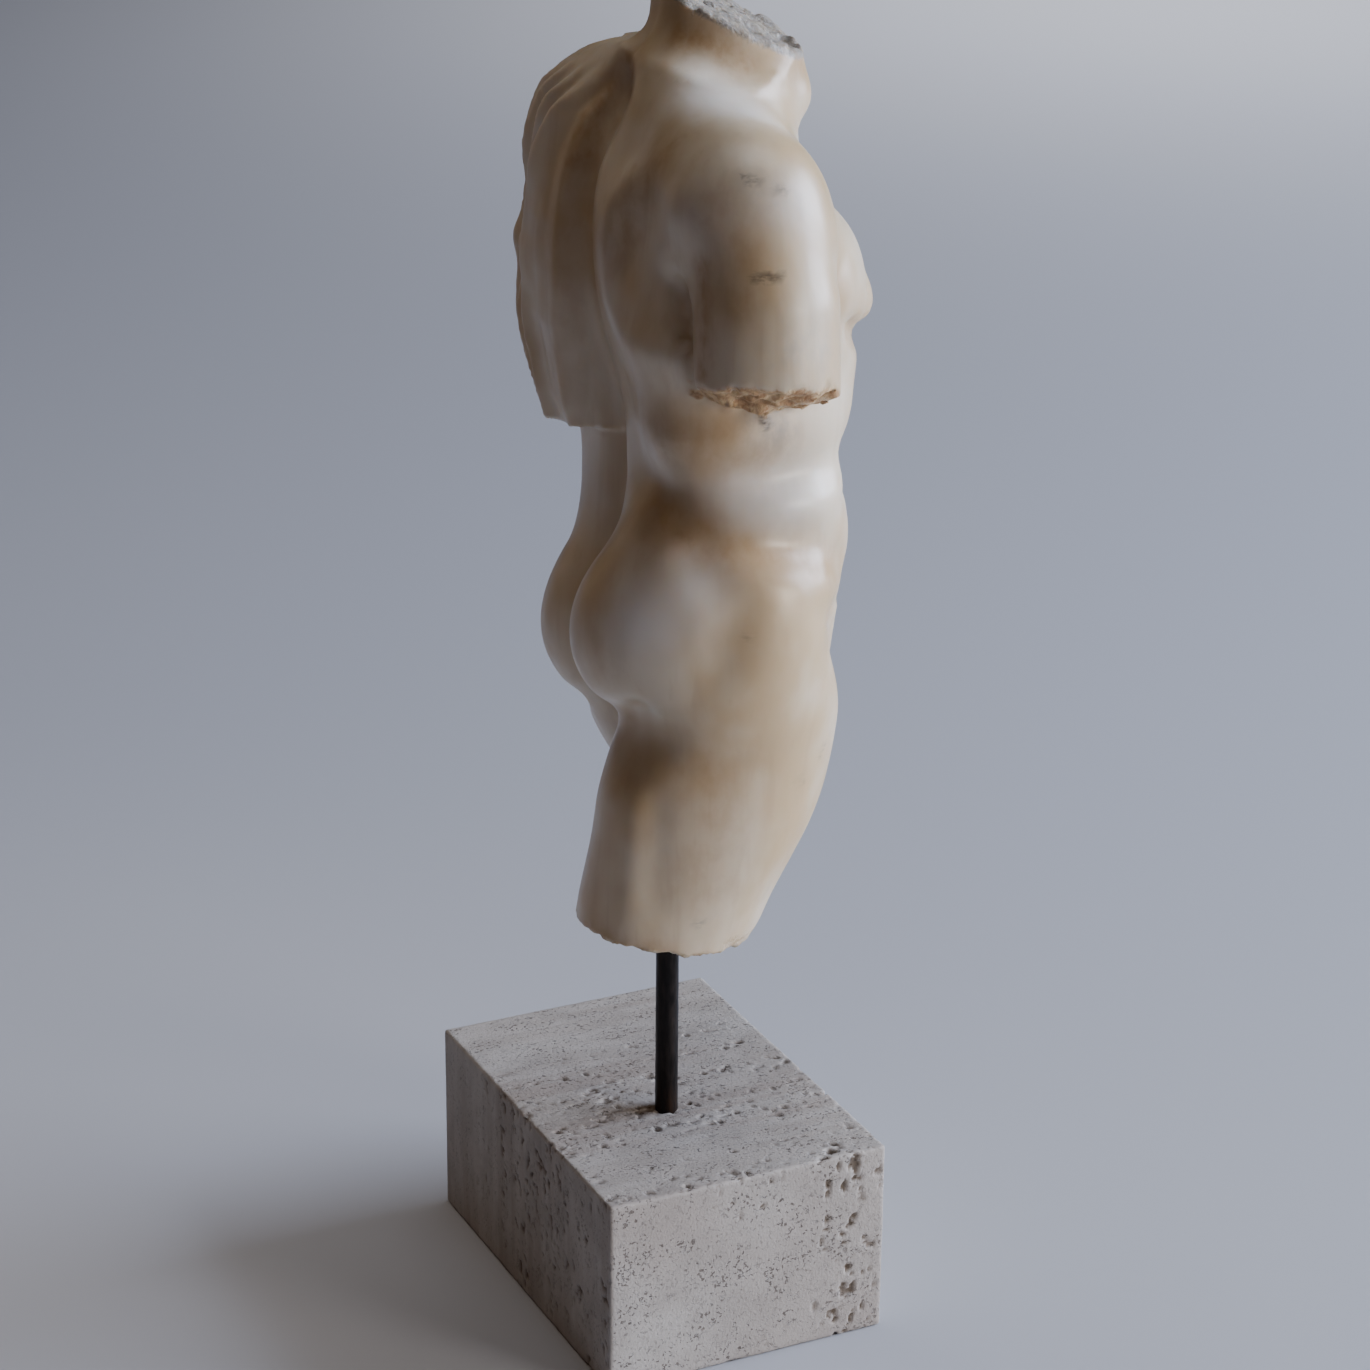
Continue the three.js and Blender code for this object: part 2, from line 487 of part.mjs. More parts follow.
// The surface of a field as a mesh: one point in each cell that the surface crosses
function skin(field, xs, ys, zs) {
  const [nx, ny, nz] = [xs.length, ys.length, zs.length];
  const at = (i, j, k) => (k * ny + j) * nx + i;
  const value = new Float32Array(nx * ny * nz);
  for (let k = 0; k < nz; k++)
    for (let j = 0; j < ny; j++)
      for (let i = 0; i < nx; i++) value[at(i, j, k)] = field(xs[i], ys[j], zs[k]);
  untangled(value, nx, ny, nz);
  const known = new Map();
  const crossing = (axis, i, j, k) => {
    const from = at(i, j, k);
    const key = from * 3 + axis;
    if (known.has(key)) return known.get(key);
    const to = at(i + (axis === 0), j + (axis === 1), k + (axis === 2));
    let found = null;
    if (value[from] < 0 !== value[to] < 0) {
      const step = [[xs, i], [ys, j], [zs, k]].map(([s, n], m) => (m === axis ? s[n + 1] - s[n] : 0));
      const start = [xs[i], ys[j], zs[k]];
      let [t0, t1, v0, v1] = [0, 1, value[from], value[to]];
      let t = v0 / (v0 - v1);
      for (let pass = 0; pass < 3; pass++) {
        const v = field(...start.map((s, m) => s + t * step[m]));
        if (v < 0 === v0 < 0) [t0, v0] = [t, v];
        else [t1, v1] = [t, v];
        t = mix(t0, t1, Math.min(0.9, Math.max(0.1, v0 / (v0 - v1))));
      }
      const place = start.map((s, m) => s + t * step[m]);
      const g = slopeOf(field, ...place)[1];
      const length = Math.hypot(...g) || 1;
      found = { at: place, normal: g.map((v) => v / length) };
    }
    known.set(key, found);
    return found;
  };
  const index = new Int32Array(nx * ny * nz).fill(-1);
  const points = [];
  for (let k = 0; k + 1 < nz; k++)
    for (let j = 0; j + 1 < ny; j++)
      for (let i = 0; i + 1 < nx; i++) {
        const found = [];
        for (let e = 0; e < 12; e++) {
          const axis = e >> 2;
          const b = [0, 0, 0];
          b[(axis + 1) % 3] = e & 1;
          b[(axis + 2) % 3] = (e >> 1) & 1;
          const c = crossing(axis, i + b[0], j + b[1], k + b[2]);
          if (c) found.push(c);
        }
        if (!found.length) continue;
        index[at(i, j, k)] = points.length / 3;
        const best = fitted(found, [xs[i], ys[j], zs[k]], [xs[i + 1], ys[j + 1], zs[k + 1]]);
        points.push(...settled(field, best, 2));
      }
  const triangles = [];
  const gap = (m, n) => Math.hypot(...[0, 1, 2].map((s) => points[3 * m + s] - points[3 * n + s]));
  const quad = (a, b, c, d, flip) => {
    const q = flip ? [a, d, c, b] : [a, b, c, d];
    if (gap(q[0], q[2]) < gap(q[1], q[3])) triangles.push(q[0], q[1], q[2], q[0], q[2], q[3]);
    else triangles.push(q[0], q[1], q[3], q[1], q[2], q[3]);
  };
  for (let k = 1; k + 1 < nz; k++)
    for (let j = 1; j + 1 < ny; j++)
      for (let i = 1; i + 1 < nx; i++) {
        const inside = value[at(i, j, k)] < 0;
        for (let axis = 0; axis < 3; axis++) {
          const to = [0, 1, 2].map((m) => +(m === axis));
          if (inside === value[at(i + to[0], j + to[1], k + to[2])] < 0) continue;
          const p = [0, 1, 2].map((m) => +(m === (axis + 1) % 3));
          const q = [0, 1, 2].map((m) => +(m === (axis + 2) % 3));
          const cell = (u, v) => index[at(...[i, j, k].map((n, m) => n - u * p[m] - v * q[m]))];
          quad(cell(1, 1), cell(0, 1), cell(0, 0), cell(1, 0), !inside);
        }
      }
  return { points, triangles };
}

// Grid lines from stops of [place, step from here on]; the last stop ends them
function rulings(stops) {
  const at = [];
  for (let i = 0; i + 1 < stops.length; i++) {
    const [from, step] = stops[i];
    const [to] = stops[i + 1];
    const count = Math.ceil((to - from) / step);
    for (let k = 0; k < count; k++) at.push(from + ((to - from) * k) / count);
  }
  return [...at, stops[stops.length - 1][0]];
}

const sectionsOut = (rows, middle, size, sign) => rows.map((row) => row[middle] + sign * row[size]);
const RIGHTMOST = Math.min(...RIGHT_ARM.path.map((p, i) => p[0] - RIGHT_ARM.radius[i])) - MARGIN;
const LEFTMOST = Math.max(...sectionsOut(CLOAK, 1, 3, 1)) + MARGIN;
const FOREMOST = Math.min(...sectionsOut(LEFT_THIGH, 2, 4, -1), ...sectionsOut(TRUNK, 1, 3, -1)) - MARGIN;
const HINDMOST = Math.max(...sectionsOut(RIGHT_THIGH, 2, 5, 1), ...sectionsOut(TRUNK, 1, 4, 1)) + MARGIN;
const LOWEST = RIGHT_BREAK.height - MARGIN;
const HIGHEST = NECK_BREAK.height + 2 * MARGIN;
const carving = skin(
  figure,
  rulings([[RIGHTMOST, CELL], [CLOAK_FROM_SPINE[0], FOLD_CELL], [LEFTMOST]]),
  rulings([[FOREMOST, CELL], [HINDMOST]]),
  rulings([[LOWEST, RISE_CELL], [HIGHEST]]),
);

function manifold(geometry) {
  const g = mergeVertices(geometry.clone().deleteAttribute("normal").deleteAttribute("uv"), 1e-4);
  return new wasm.Manifold(
    new wasm.Mesh({
      numProp: 3,
      vertProperties: Float32Array.from(g.attributes.position.array),
      triVerts: Uint32Array.from(g.index.array),
    }),
  );
}

function geometryOf(solid) {
  const m = solid.getMesh();
  const g = new THREE.BufferGeometry();
  const v = new Float32Array(m.numVert * 3);
  for (let i = 0; i < m.numVert; i++) {
    const from = i * m.numProp;
    v.set(m.vertProperties.subarray(from, from + 3), i * 3);
  }
  g.setAttribute("position", new THREE.BufferAttribute(v, 3));
  g.setIndex(new THREE.BufferAttribute(m.triVerts, 1));
  g.computeVertexNormals();
  return g;
}

// An upright cylinder from the height low to the height high
function column(diameter, low, high, sides) {
  const g = new THREE.CylinderGeometry(diameter / 2, diameter / 2, high - low, sides);
  return g.rotateX(Math.PI / 2).translate(0, 0, (high + low) / 2);
}

function placed(name, geometry, material, x, y, z) {
  const mesh = new THREE.Mesh(geometry, material);
  mesh.name = name;
  mesh.position.set(x, y, z);
  return mesh;
}

const marble = new THREE.MeshStandardMaterial({ name: "marble", color: 0xd9cdb9, roughness: 0.42 });
const travertine = new THREE.MeshStandardMaterial({ name: "travertine", color: 0xd4cec4, roughness: 0.7 });
const steel = new THREE.MeshStandardMaterial({
  name: "blackened_steel",
  color: 0x2a2726,
  roughness: 0.35,
  metalness: 0.9,
});

const HOLE_DIAMETER = ROD_DIAMETER + 2 * HOLE_CLEARANCE;
const ROD_LENGTH = ROD_IN_BLOCK + ROD_SHOWING + ROD_IN_TORSO;
const ROD_SIDES = 32;

// The rod, its foot at its own origin
const rod = () => column(ROD_DIAMETER, 0, ROD_LENGTH, ROD_SIDES);

// The block, its underside at its own origin, drilled where the rod stands
function block() {
  const stone = new RoundedBoxGeometry(BLOCK_WIDTH, BLOCK_DEPTH, BLOCK_HEIGHT, 1, BLOCK_ARRIS);
  const bottom = BLOCK_HEIGHT - ROD_IN_BLOCK - HOLE_CLEARANCE;
  const hole = column(HOLE_DIAMETER, bottom, BLOCK_HEIGHT + 5, ROD_SIDES);
  hole.translate(-ROD_TO_RIGHT, ROD_TO_BACK, 0);
  return geometryOf(manifold(stone.translate(0, 0, BLOCK_HEIGHT / 2)).subtract(manifold(hole)));
}

// The carved figure, the rod's entry at its own origin, drilled for the rod
function torso() {
  const g = new THREE.BufferGeometry();
  g.setAttribute("position", new THREE.BufferAttribute(new Float32Array(carving.points), 3));
  g.setIndex(carving.triangles);
  g.translate(...ROD_ENTRY.map((v) => -v)).scale(CARVING_SCALE, CARVING_SCALE, CARVING_SCALE);
  const hole = column(HOLE_DIAMETER, -MARGIN, ROD_IN_TORSO + HOLE_CLEARANCE, ROD_SIDES);
  return geometryOf(manifold(g).subtract(manifold(hole)));
}

const group = new THREE.Group();
group.name = "marble_male_torso";
group.add(placed("travertine_block", block(), travertine, 0, 0, 0));
group.add(placed("steel_rod", rod(), steel, -ROD_TO_RIGHT, ROD_TO_BACK, BLOCK_HEIGHT - ROD_IN_BLOCK));
group.add(placed("marble_torso", torso(), marble, -ROD_TO_RIGHT, ROD_TO_BACK, BLOCK_HEIGHT + ROD_SHOWING));
export default group;
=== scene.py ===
# A marble male torso with a cloak over its left shoulder, on its steel rod and travertine block.
# The carving is worked in millimetres, in the same layout as the solids, and Blender gets metres.
import math

import bmesh
import bpy
import numpy as np
from mathutils import Matrix, Vector


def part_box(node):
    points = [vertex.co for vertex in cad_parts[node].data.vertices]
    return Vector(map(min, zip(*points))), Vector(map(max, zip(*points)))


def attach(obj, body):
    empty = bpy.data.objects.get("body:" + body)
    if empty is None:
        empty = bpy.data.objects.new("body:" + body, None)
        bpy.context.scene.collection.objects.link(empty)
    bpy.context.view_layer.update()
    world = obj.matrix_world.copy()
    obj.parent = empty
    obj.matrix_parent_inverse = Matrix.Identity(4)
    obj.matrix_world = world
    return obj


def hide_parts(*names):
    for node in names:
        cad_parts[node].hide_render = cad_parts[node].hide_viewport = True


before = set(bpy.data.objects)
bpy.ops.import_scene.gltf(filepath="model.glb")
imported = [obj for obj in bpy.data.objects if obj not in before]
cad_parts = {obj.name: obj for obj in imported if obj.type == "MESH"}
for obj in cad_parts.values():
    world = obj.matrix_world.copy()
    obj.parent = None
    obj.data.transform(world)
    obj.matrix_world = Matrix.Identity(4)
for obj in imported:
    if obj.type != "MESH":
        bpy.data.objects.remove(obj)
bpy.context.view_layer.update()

MM = 0.001

# Sizes of the stand come from the frame
BLOCK_LOW, BLOCK_HIGH = (np.array(corner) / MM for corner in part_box("travertine_block"))
ROD_LOW, ROD_HIGH = (np.array(corner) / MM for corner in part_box("steel_rod"))
ROD_AXIS = (ROD_LOW + ROD_HIGH)[:2] / 2
ROD_RADIUS = (ROD_HIGH - ROD_LOW)[0] / 2
ROD_SHOWING = 105

# The carving's layout: x and y start under the middle of the figure, z at the rod's entry
ROD_ENTRY = (-23, 6.5, 0)
CARVING_SCALE = 1.0

# Sizes of the mesh cells, small enough for the folds and for the block's pits
CARVING_CELL = 3.6
BLOCK_CELL = 1.25
# The box that the carving is sought in. On the cloak's side of FINE_FROM, and this near to the breaks,
# its cells are cut in four, and the points round the breaks are drawn to their surface once more.
CARVING_SPACE = [(-146, -126, -22), (126, 76, 472)]
FINE_FROM = -6
FINE_BREAKS, ROUND_BREAKS = 6, 9

# The pose: how far the pelvis and the chest are shifted, turned about the vertical and tilted sideways
POSE_FROM, POSE_TO = 175, 295
PELVIS = {"shift": -3, "turn": -13, "tilt": 0.3}
CHEST = {"shift": 2, "turn": 0, "tilt": -0.1}

# Trunk sections: height, middle y, half width, depth to the front, depth to the back, squareness
TRUNK = [
    [62, -24, 56, 34, 30, 2.2],
    [90, -26, 76, 46, 40, 2.3],
    [130, -28, 84, 45, 44, 2.3],
    [170, -30, 84, 53, 48, 2.4],
    [205, -31, 78, 51, 53, 2.5],
    [235, -29, 74, 39, 52, 2.5],
    [270, -27, 78, 47, 54, 2.4],
    [310, -22, 83, 64, 60, 2.3],
    [345, -14, 85, 60, 56, 2.3],
    [375, -10, 76, 50, 50, 2.2],
    [398, -12, 60, 38, 40, 2.1],
    [418, -20, 44, 26, 28, 2],
]

# Sections of the thighs and the neck: height, middle x and y, half width, depth to the front and the back
RIGHT_THIGH = [
    [165, -42, -24, 40, 41, 42],
    [120, -42, -20, 45, 50, 55],
    [80, -39, -13, 46, 53, 60],
    [50, -35, -7, 45, 50, 57],
    [20, -30, 2, 43, 45, 52],
    [0, -27, 8, 42, 44, 48],
    [-30, -24, 16, 41, 42, 47],
]
LEFT_THIGH = [
    [165, 36, -30, 42, 42, 42],
    [120, 42, -34, 46, 48, 58],
    [80, 46, -44, 46, 48, 60],
    [50, 48, -54, 45, 46, 50],
    [20, 50, -64, 43, 45, 46],
    [-30, 52, -80, 41, 43, 43],
]
NECK = [
    [385, 0, -27, 38, 23, 35],
    [405, 0, -32, 34, 21, 38],
    [430, 0, -35, 33, 30, 39],
    [480, 0, -40, 35, 38, 40],
]
# The heights between which they are drawn, and how softly they meet the trunk
THIGH_SPAN, THIGH_SOFT = (-60, 165), 10
NECK_SPAN, NECK_SOFT = (370, 500), 24
# Sections of the cloak over the shoulder and the arm, in the same columns, and their squareness
CLOAK_SQUARE = 2.1
CLOAK = [
    [424, 42, -8, 6, 6, 6],
    [420, 44, -8, 17, 12, 11.5],
    [413, 48, -7, 27, 20, 19],
    [400, 54, -6, 40, 30, 31.5],
    [375, 60, -4, 47, 39, 38.5],
    [345, 62, -4, 48, 42, 36],
    [315, 62, -4, 48, 41, 36],
    [290, 61, -3, 48, 38, 40],
    [265, 57, 0, 41, 32, 34],
    [238, 50, 3, 32, 24, 26],
]

# Rounded masses: soft joint, middle, radii, turn about x, y and z in degrees.
# Those of PAIRS are in the unposed trunk and are mirrored to both sides.
PAIRS = {
    "pectoral": [18, [38, -57, 324], [42, 24, 32], [12, 0, 22]],
    "pectoral_outer": [20, [61, -38, 340], [28, 20, 26], [0, 25, 40]],
    "nipple": [8, [50, -77, 318], [8, 6, 8], [0, 0, 20]],
    "ribs": [24, [38, -32, 268], [38, 40, 48], [0, 0, 0]],
    "oblique": [18, [60, -30, 222], [22, 34, 22], [-6, 8, 0]],
    "scapula": [16, [44, 18, 342], [32, 22, 44], [6, 0, -10]],
    "teres": [14, [68, 12, 318], [22, 24, 24], [0, -20, 0]],
    "lat": [26, [56, 0, 290], [26, 34, 52], [0, -12, 0]],
    "erector": [10, [22, 4, 226], [17, 15, 66], [-4, 0, 0]],
    "buttock": [16, [37, 13, 151], [40, 40, 46], [-8, 0, 10]],
    "gluteus": [24, [44, -4, 178], [36, 34, 46], [-14, 0, 0]],
    "hip": [24, [60, -14, 142], [32, 42, 56], [0, 0, 0]],
    "trapezius": [18, [38, 2, 400], [44, 22, 20], [0, 28, 0]],
}
MASSES = {
    "belly": [16, [-2, -46, 197], [48, 39, 48], [0, 0, 0]],
    "left_loin": [24, [36, -11, 208], [30, 24, 50], [-6, 0, 0]],
    "throat": [14, [-3, -55, 404], [25, 14, 15], [20, 0, 0]],
}

# The right arm: middles and radii down it, and how softly it meets the trunk below and above two heights
RIGHT_ARM = {"path": [[-82, -4, 370], [-95, -5, 330], [-101, -5, 250]], "radius": [33, 33.5, 33]}
ARM_SOFT, ARM_SOFT_BETWEEN = (5, 38), (322, 370)

# Grooves, and ridges where the depth is negative: depth, half breadth, path.
# Those of PAIR_STROKES are in the unposed trunk and are mirrored to both sides.
PAIR_STROKES = {
    "midline": [3.5, 7, [[0, -86, 385], [0, -94, 320], [0, -84, 250], [0, -80, 185]]],
    "pectoral_edge": [4.5, 7, [[6, -90, 303], [38, -86, 297], [66, -66, 308], [80, -40, 332]]],
    "rib_arch": [2.5, 9, [[10, -88, 284], [32, -80, 262], [52, -70, 247]]],
    "rib_groove": [2.2, 14, [[76, -54, 234], [84, -29, 239], [83, 0, 248], [72, 18, 252]]],
    "rectus_edge": [2, 7, [[33, -76, 254], [37, -74, 215], [30, -76, 175]]],
    "iliac": [3.2, 12, [[71, 16, 210], [84, -3, 201], [88, -22, 194], [86, -42, 189], [78, -62, 184],
                        [62, -73, 178]]],
    "iliac_front": [2, 11, [[38, -80, 163], [18, -82, 146]]],
    "groin": [4.5, 10, [[72, -48, 150], [58, -60, 146], [34, -76, 114], [12, -80, 98]]],
    "spine": [9, 9, [[0, 24, 408], [0, 44, 350], [0, 40, 300], [0, 20, 240], [0, 22, 210]]],
    "cleft": [12, 6, [[0, 26, 198], [0, 50, 160], [0, 34, 118]]],
    "gluteal_fold": [3.5, 8, [[8, 36, 108], [38, 40, 106], [62, 24, 113]]],
    "clavicle": [-1.4, 9, [[12, -58, 378], [46, -46, 392], [78, -20, 396]]],
    "blade_rim": [-2.5, 10, [[40, 35, 380], [32, 45, 362], [31, 45, 348], [36, 45, 326], [50, 44, 314],
                            [80, 38, 316]]],
    "blade_hollow": [4.5, 15, [[66, 37, 374], [54, 40, 362], [45, 43, 347]]],
    "teres_ridge": [-1.5, 11, [[88, 28, 388], [74, 35, 372], [60, 37, 352], [56, 40, 336]]],
    "armpit": [2.2, 13, [[90, 28, 365], [86, 32, 345], [84, 33, 330]]],
    "flank_hollow": [1.5, 15, [[52, 38, 284], [74, 26, 284]]],
    "buttock_side": [2.5, 14, [[84, 7, 190], [95, -12, 158], [92, -6, 134]]],
    "under_buttock": [2.5, 15, [[66, 19, 99], [56, 24, 104], [50, 27, 90]]],
}
STROKES = {
    "navel": [6, 5, [[-2, -84, 206]]],
    "hamstring": [1.5, 9, [[-65, 33, 80], [-64, 33, 59], [-63, 33, 34]]],
    "hamstring_tendon": [-1.1, 9, [[-60, 42, 81], [-59, 42, 53], [-57, 42, 20]]],
    "thigh_front": [2, 10, [[-58, -34, 48], [-50, -12, 20]]],
    "worn_corner": [2.2, 7, [[-66, -8, -3], [-52, -27, -6], [-30, -36, -9]]],
    "under_cloak": [9, 18, [[68, 34, 362], [66, 38, 316]]],
    "under_cloak_top": [7, 15, [[52, -12, 424], [44, 0, 428], [24, 4, 434]]],
}

# The part of the cloak that falls over the left blade: middles and radii down it
BLADE_DRAPE = {
    "path": [[24, 6, 410], [27, 20, 385], [30, 26, 345], [31, 26, 300], [33, 22, 262], [35, 18, 236]],
    "radius": [13, 20, 23, 23, 19, 14],
}
CLOAK_THICK = 2.5
# How softly the cloak's bulk meets the drape, both meet the body's shape, and their edge meets its skin
DRAPE_SOFT, UNDER_SOFT, EDGE_SOFT = 14, 10, 2
CLOAK_FROM_SPINE = (0, 14)
CLOAK_FRONT_EDGE = [[236, 46], [300, 36], [360, 27], [430, 20]]
HEM = {"height": 240, "slope": (-0.1, 0.05), "at": (50, 0)}

# Folds of the cloak: rise, half breadth in degrees, and where each lies at the hem, half way up, at the
# shoulder's crest and at its top, in degrees about the cloak's middle from straight back towards the arm
FOLDS_AT = (245, 335, 398, 424)
# Between these heights they die out. A fold leans, its crest is rounded, and its sides fall away.
FOLDS_DIE = (424, 398)
FOLD_LEAN = (0.6, 1.3)
FOLD_CREST = (0.012, 0.11)
FOLD_FALL = 1.4
FOLDS = [
    [2.5, 12, (-60, -64, -62, -70)],
    [3.5, 12, (-38, -42, -49, -64)],
    [6, 12, (-6, -8, -26, -47)],
    [5.5, 11, (14, 13, -6, -30)],
    [5, 11, (31, 30, 22, -5)],
    [4.5, 11, (51, 51, 44, 20)],
    [5, 12, (70, 71, 66, 44)],
    [5, 12, (90, 91, 88, 72)],
    [5, 12, (102, 110, 110, 100)],
    [5, 12, (126, 133, 132, 126)],
    [4.5, 12, (150, 156, 155, 152)],
    [4, 12, (174, 180, 180, 180)],
    [3.5, 12, (196, 204, 206, 210)],
]

# Breaks, each a slanting plane with worn edges: height, slope along x, slope along y, and where they start
BREAK_SOFT = 2.5
NECK_BREAK = {"height": 456, "slope": (0.18, 0.46), "at": (0, 0)}
ARM_BREAK = {"height": 292, "slope": (-0.3, 0.14), "at": (-98, 0)}
ARM_CORE = {"drop": 9, "middle": (-99, -5), "radius": 34}
RIGHT_BREAK = {"height": -1, "slope": (0, 0.19), "at": (0, 8)}
LEFT_BREAK = {"height": 36, "slope": (0, -0.35), "at": (0, -60)}
# Share of the height over a slanting break that is distance from it
ARM_BREAK_RISE, NECK_BREAK_RISE = 0.85, 0.88

# Strokes are worked out only this near to the surface
STROKE_REACH = 25

# Finer carving than the solids have: depth, half breadth, path
FINE_STROKES = {
    "arm_crease": [4.5, 4.5, [[-74, 27, 338], [-77, 27, 325], [-84, 28, 308], [-88, 28, 292]]],
    "arm_lip": [-1.5, 6, [[-86, 30, 335], [-91, 29, 316], [-96, 27, 298]]],
}
# Chips on the breaks: size and height. They are worked out within CHIPS_NEAR of the neck's plane,
# below CHIPS_BELOW, and round the arm's end: beyond an x and between two heights.
ARM_CHIPS = [(10, 4.5), (4.5, 2)]
NECK_CHIPS = [(14, 3.4), (5.5, 1.2)]
THIGH_CHIPS = [(9, 2.4), (4, 1.2)]
CHIPS_NEAR, CHIPS_BELOW = 12, 60
CHIPS_ROUND_ARM = (-55, 265, 325)
# How sharp the edges between chips are, and how much their faces tilt
CHIP_SHARP, CHIP_TILT = 14, 1.6

# Where broken stone shows: round the arm's end as above, and below the thighs' height. BETWEEN_THIGHS
# is the x between the two. It fades out by distance from the break, from the arm's middle, and as the
# surface turns away from facing down.
ARM_END = (-60, 262, 322)
THIGH_ENDS, BETWEEN_THIGHS = 55, 12
NECK_FADE, ARM_FADE, ARM_RIM_FADE = (-3.2, -1.6), (-2.4, -1), (-37, -34)
ARM_FACING, THIGH_FACING = (0.1, 0.35), (0.2, 0.5)
# How far out the hollows are felt for, for their ochre patina and painted shade, and the weight of each
# distance
HOLLOW_REACHES = ((5, 0.4), (12, 0.35), (26, 0.25))

# Ochre stains where damp and dust lay longest, and painted shade in the same ochre where grooves,
# undersides and sides lie turned from the light: strength, breadth, path
STAINS_AND_SHADE = {
    "cloak_top": [0.8, 12, [[3, 17, 420], [9, 27, 402], [9, 39, 380]]],
    "cloak_valley": [0.35, 20, [[9, 42, 370], [6, 46, 330], [4, 44, 270]]],
    "blade_hollow": [0.55, 14, [[-36, 41, 347], [-44, 38, 372], [-58, 26, 396]]],
    "flank": [0.5, 22, [[-70, 30, 262], [-84, 12, 266], [-88, -10, 262]]],
    "furrow_back": [0.45, 10, [[-53, 27, 229], [-61, 24, 226]]],
    "furrow": [0.6, 12, [[-61, 24, 226], [-74, 16, 219], [-84, 5, 213], [-90, -12, 208], [-89, -30, 204],
                             [-84, -58, 198]]],
    "buttock_side": [0.2, 16, [[-50, 57, 168], [-52, 57, 150]]],
    "under_buttock": [0.1, 14, [[-42, 36, 116], [-52, 31, 112]]],
    "back_of_thigh": [0.2, 16, [[-65, 33, 70], [-64, 33, 40]]],
    "stump": [0.8, 12, [[-40, 50, 2], [-62, 34, 2]]],
    "under_neck_rim": [0.8, 10, [[-18, 2, 438], [-26, -8, 434], [-36, -22, 425]]],
    "neck_front": [0.6, 12, [[-33, -48, 428], [-28, -56, 420]]],
    "arm_back": [0.8, 8, [[-97, 27, 350], [-99, 27, 335], [-101, 26, 300]]],
    "shoulder_back": [0.4, 15, [[-100, 24, 376], [-114, 18, 362], [-116, 18, 340]]],
    "thigh_side": [0.4, 20, [[-78, 14, 100], [-80, 10, 80], [-76, 14, 40]]],
    "chest_side": [0.4, 16, [[-84, -40, 300], [-80, -44, 330]]],
}
# Dark mineral spots and short veins in the stone, and the grey veils round them
SPOTS = {
    "shoulder": [0.8, 1.3, [[-102.5, 11, 393], [-105, 9, 391], [-107.5, 6, 391]]],
    "shoulder_dots": [0.7, 1.6, [[-111, -3, 387], [-112, -6, 386]]],
    "arm": [0.75, 1.3, [[-118.5, 12, 351], [-121, 7, 351.5], [-123, 2, 350]]],
    "flank": [0.9, 2.2, [[-89, -8, 277], [-88.5, -10, 271]]],
    "hip": [0.35, 1.3, [[-100, 6, 174], [-100, -1, 172]]],
    "thigh_high": [0.45, 1.5, [[-77, -49, 102], [-78, -48, 99]]],
    "thigh_low": [0.4, 1.5, [[-82, -37, 89], [-84, -32, 90]]],
    "thigh_end": [0.4, 1.5, [[-72, 15, 20], [-72, 11, 18]]],
}
VEILS = {
    "flank": [0.9, 10, [[-89, -6, 276], [-88, -16, 268]]],
    "shoulder": [0.4, 12, [[-105, 8, 391], [-110, -4, 385]]],
    "arm_end": [0.5, 16, [[-124, -4, 318], [-122, -16, 316]]],
}
# Painted highlights: pale, cool patches laid where the light gleams brightest, on the buttock, the
# shoulder's slope, the shoulder, the loin and the blade
PAINTED_SHEEN = {
    "buttock": [1.0, 21, [[-74, 40, 184], [-84, 26, 198]]],
    "shoulder_slope": [1.0, 15, [[-44, 2, 414], [-58, -12, 408]]],
    "shoulder": [0.6, 15, [[-92, 22, 375], [-112, -6, 380]]],
    "loin": [0.8, 16, [[-80, 2, 236], [-88, -24, 234]]],
    "blade": [0.5, 12, [[-30, 46, 340], [-36, 46, 320]]],
}

# The travertine's pits. The beds are open up to PLAIN along x, and plain stone follows. Depths are of
# the small pits, the runs along the beds, the larger holes and the chipped edge round the rod.
PLAIN = (50, 76)
SMALL_PIT, RUN_PIT, HOLE_PIT, ROD_CHIP = 1.3, 1.0, 2.2, 0.3
# Where the larger holes lie: middle, reach along x, y and z, strength
WORN_PLACES = [
    [(-104, -54, 0), (18, 15, math.inf), 1],
    [(-104, -38, 4), (12, 12, 7), 1],
    [(-72, 75, 0), (12, 10, math.inf), 0.7],
]

# The rod's mesh: sides, spacing of its rings, how far its ends are eased, and depth of its dents
ROD_SIDES, ROD_RING = 72, 4
ROD_EASED, ROD_DENTS = 0.5, 0.18

# The camera, in metres, and its focal length and frame in the photo's pixels
CAMERA_AT = (-1.5365, 0.733, 0.9956)
CAMERA_LOOKS, CAMERA_RIGHT = (0.8364, -0.4061, -0.3681), (-0.4338, -0.901, 0.0083)
FOCAL_LENGTH, FRAME_WIDTH = 3753, 1370
SENSOR_WIDTH = 36
CLIP_END = 60

# The room, in metres. Each light: place, where it points, size, power, colour and spread in degrees.
FLOOR_REACH = 12.0
LIGHTS = {
    "window": [(-0.95, -3.33, 1.45), (0, 0, 0.4), 2.4, 300, "#dbe6ff", 180],
    "low_window": [(-2.0, -1.3, 0.5), (-0.05, 0, 0.1), 0.8, 3.2, "#ece4de", 50],
    "skylight": [(0.1, -0.4, 2.8), (0.1, 0.1, 0.2), 1.4, 9, "#e6ebf5", 120],
    "floor_fill": [(0.25, 0.5, 1.6), (0.2, 0.35, 0), 0.5, 0.35, "#f0e2d4", 40],
    "far_skylight": [(2.8, -2.3, 1.3), (2.8, -2.1, 0), 1.4, 20, "#e9eaf0", 120],
    "pale_wall": [(2.1, 0.9, 0.75), (0, 0, 0.4), 1.2, 1.3, "#e2c6aa", 180],
    "warm_room": [(-0.6, 2.5, 0.7), (0, 0, 0.35), 2.0, 0.8, "#d98b50", 180],
}
ROOM_GLOW, ROOM_COLOUR = 0.05, "#d39c6c"


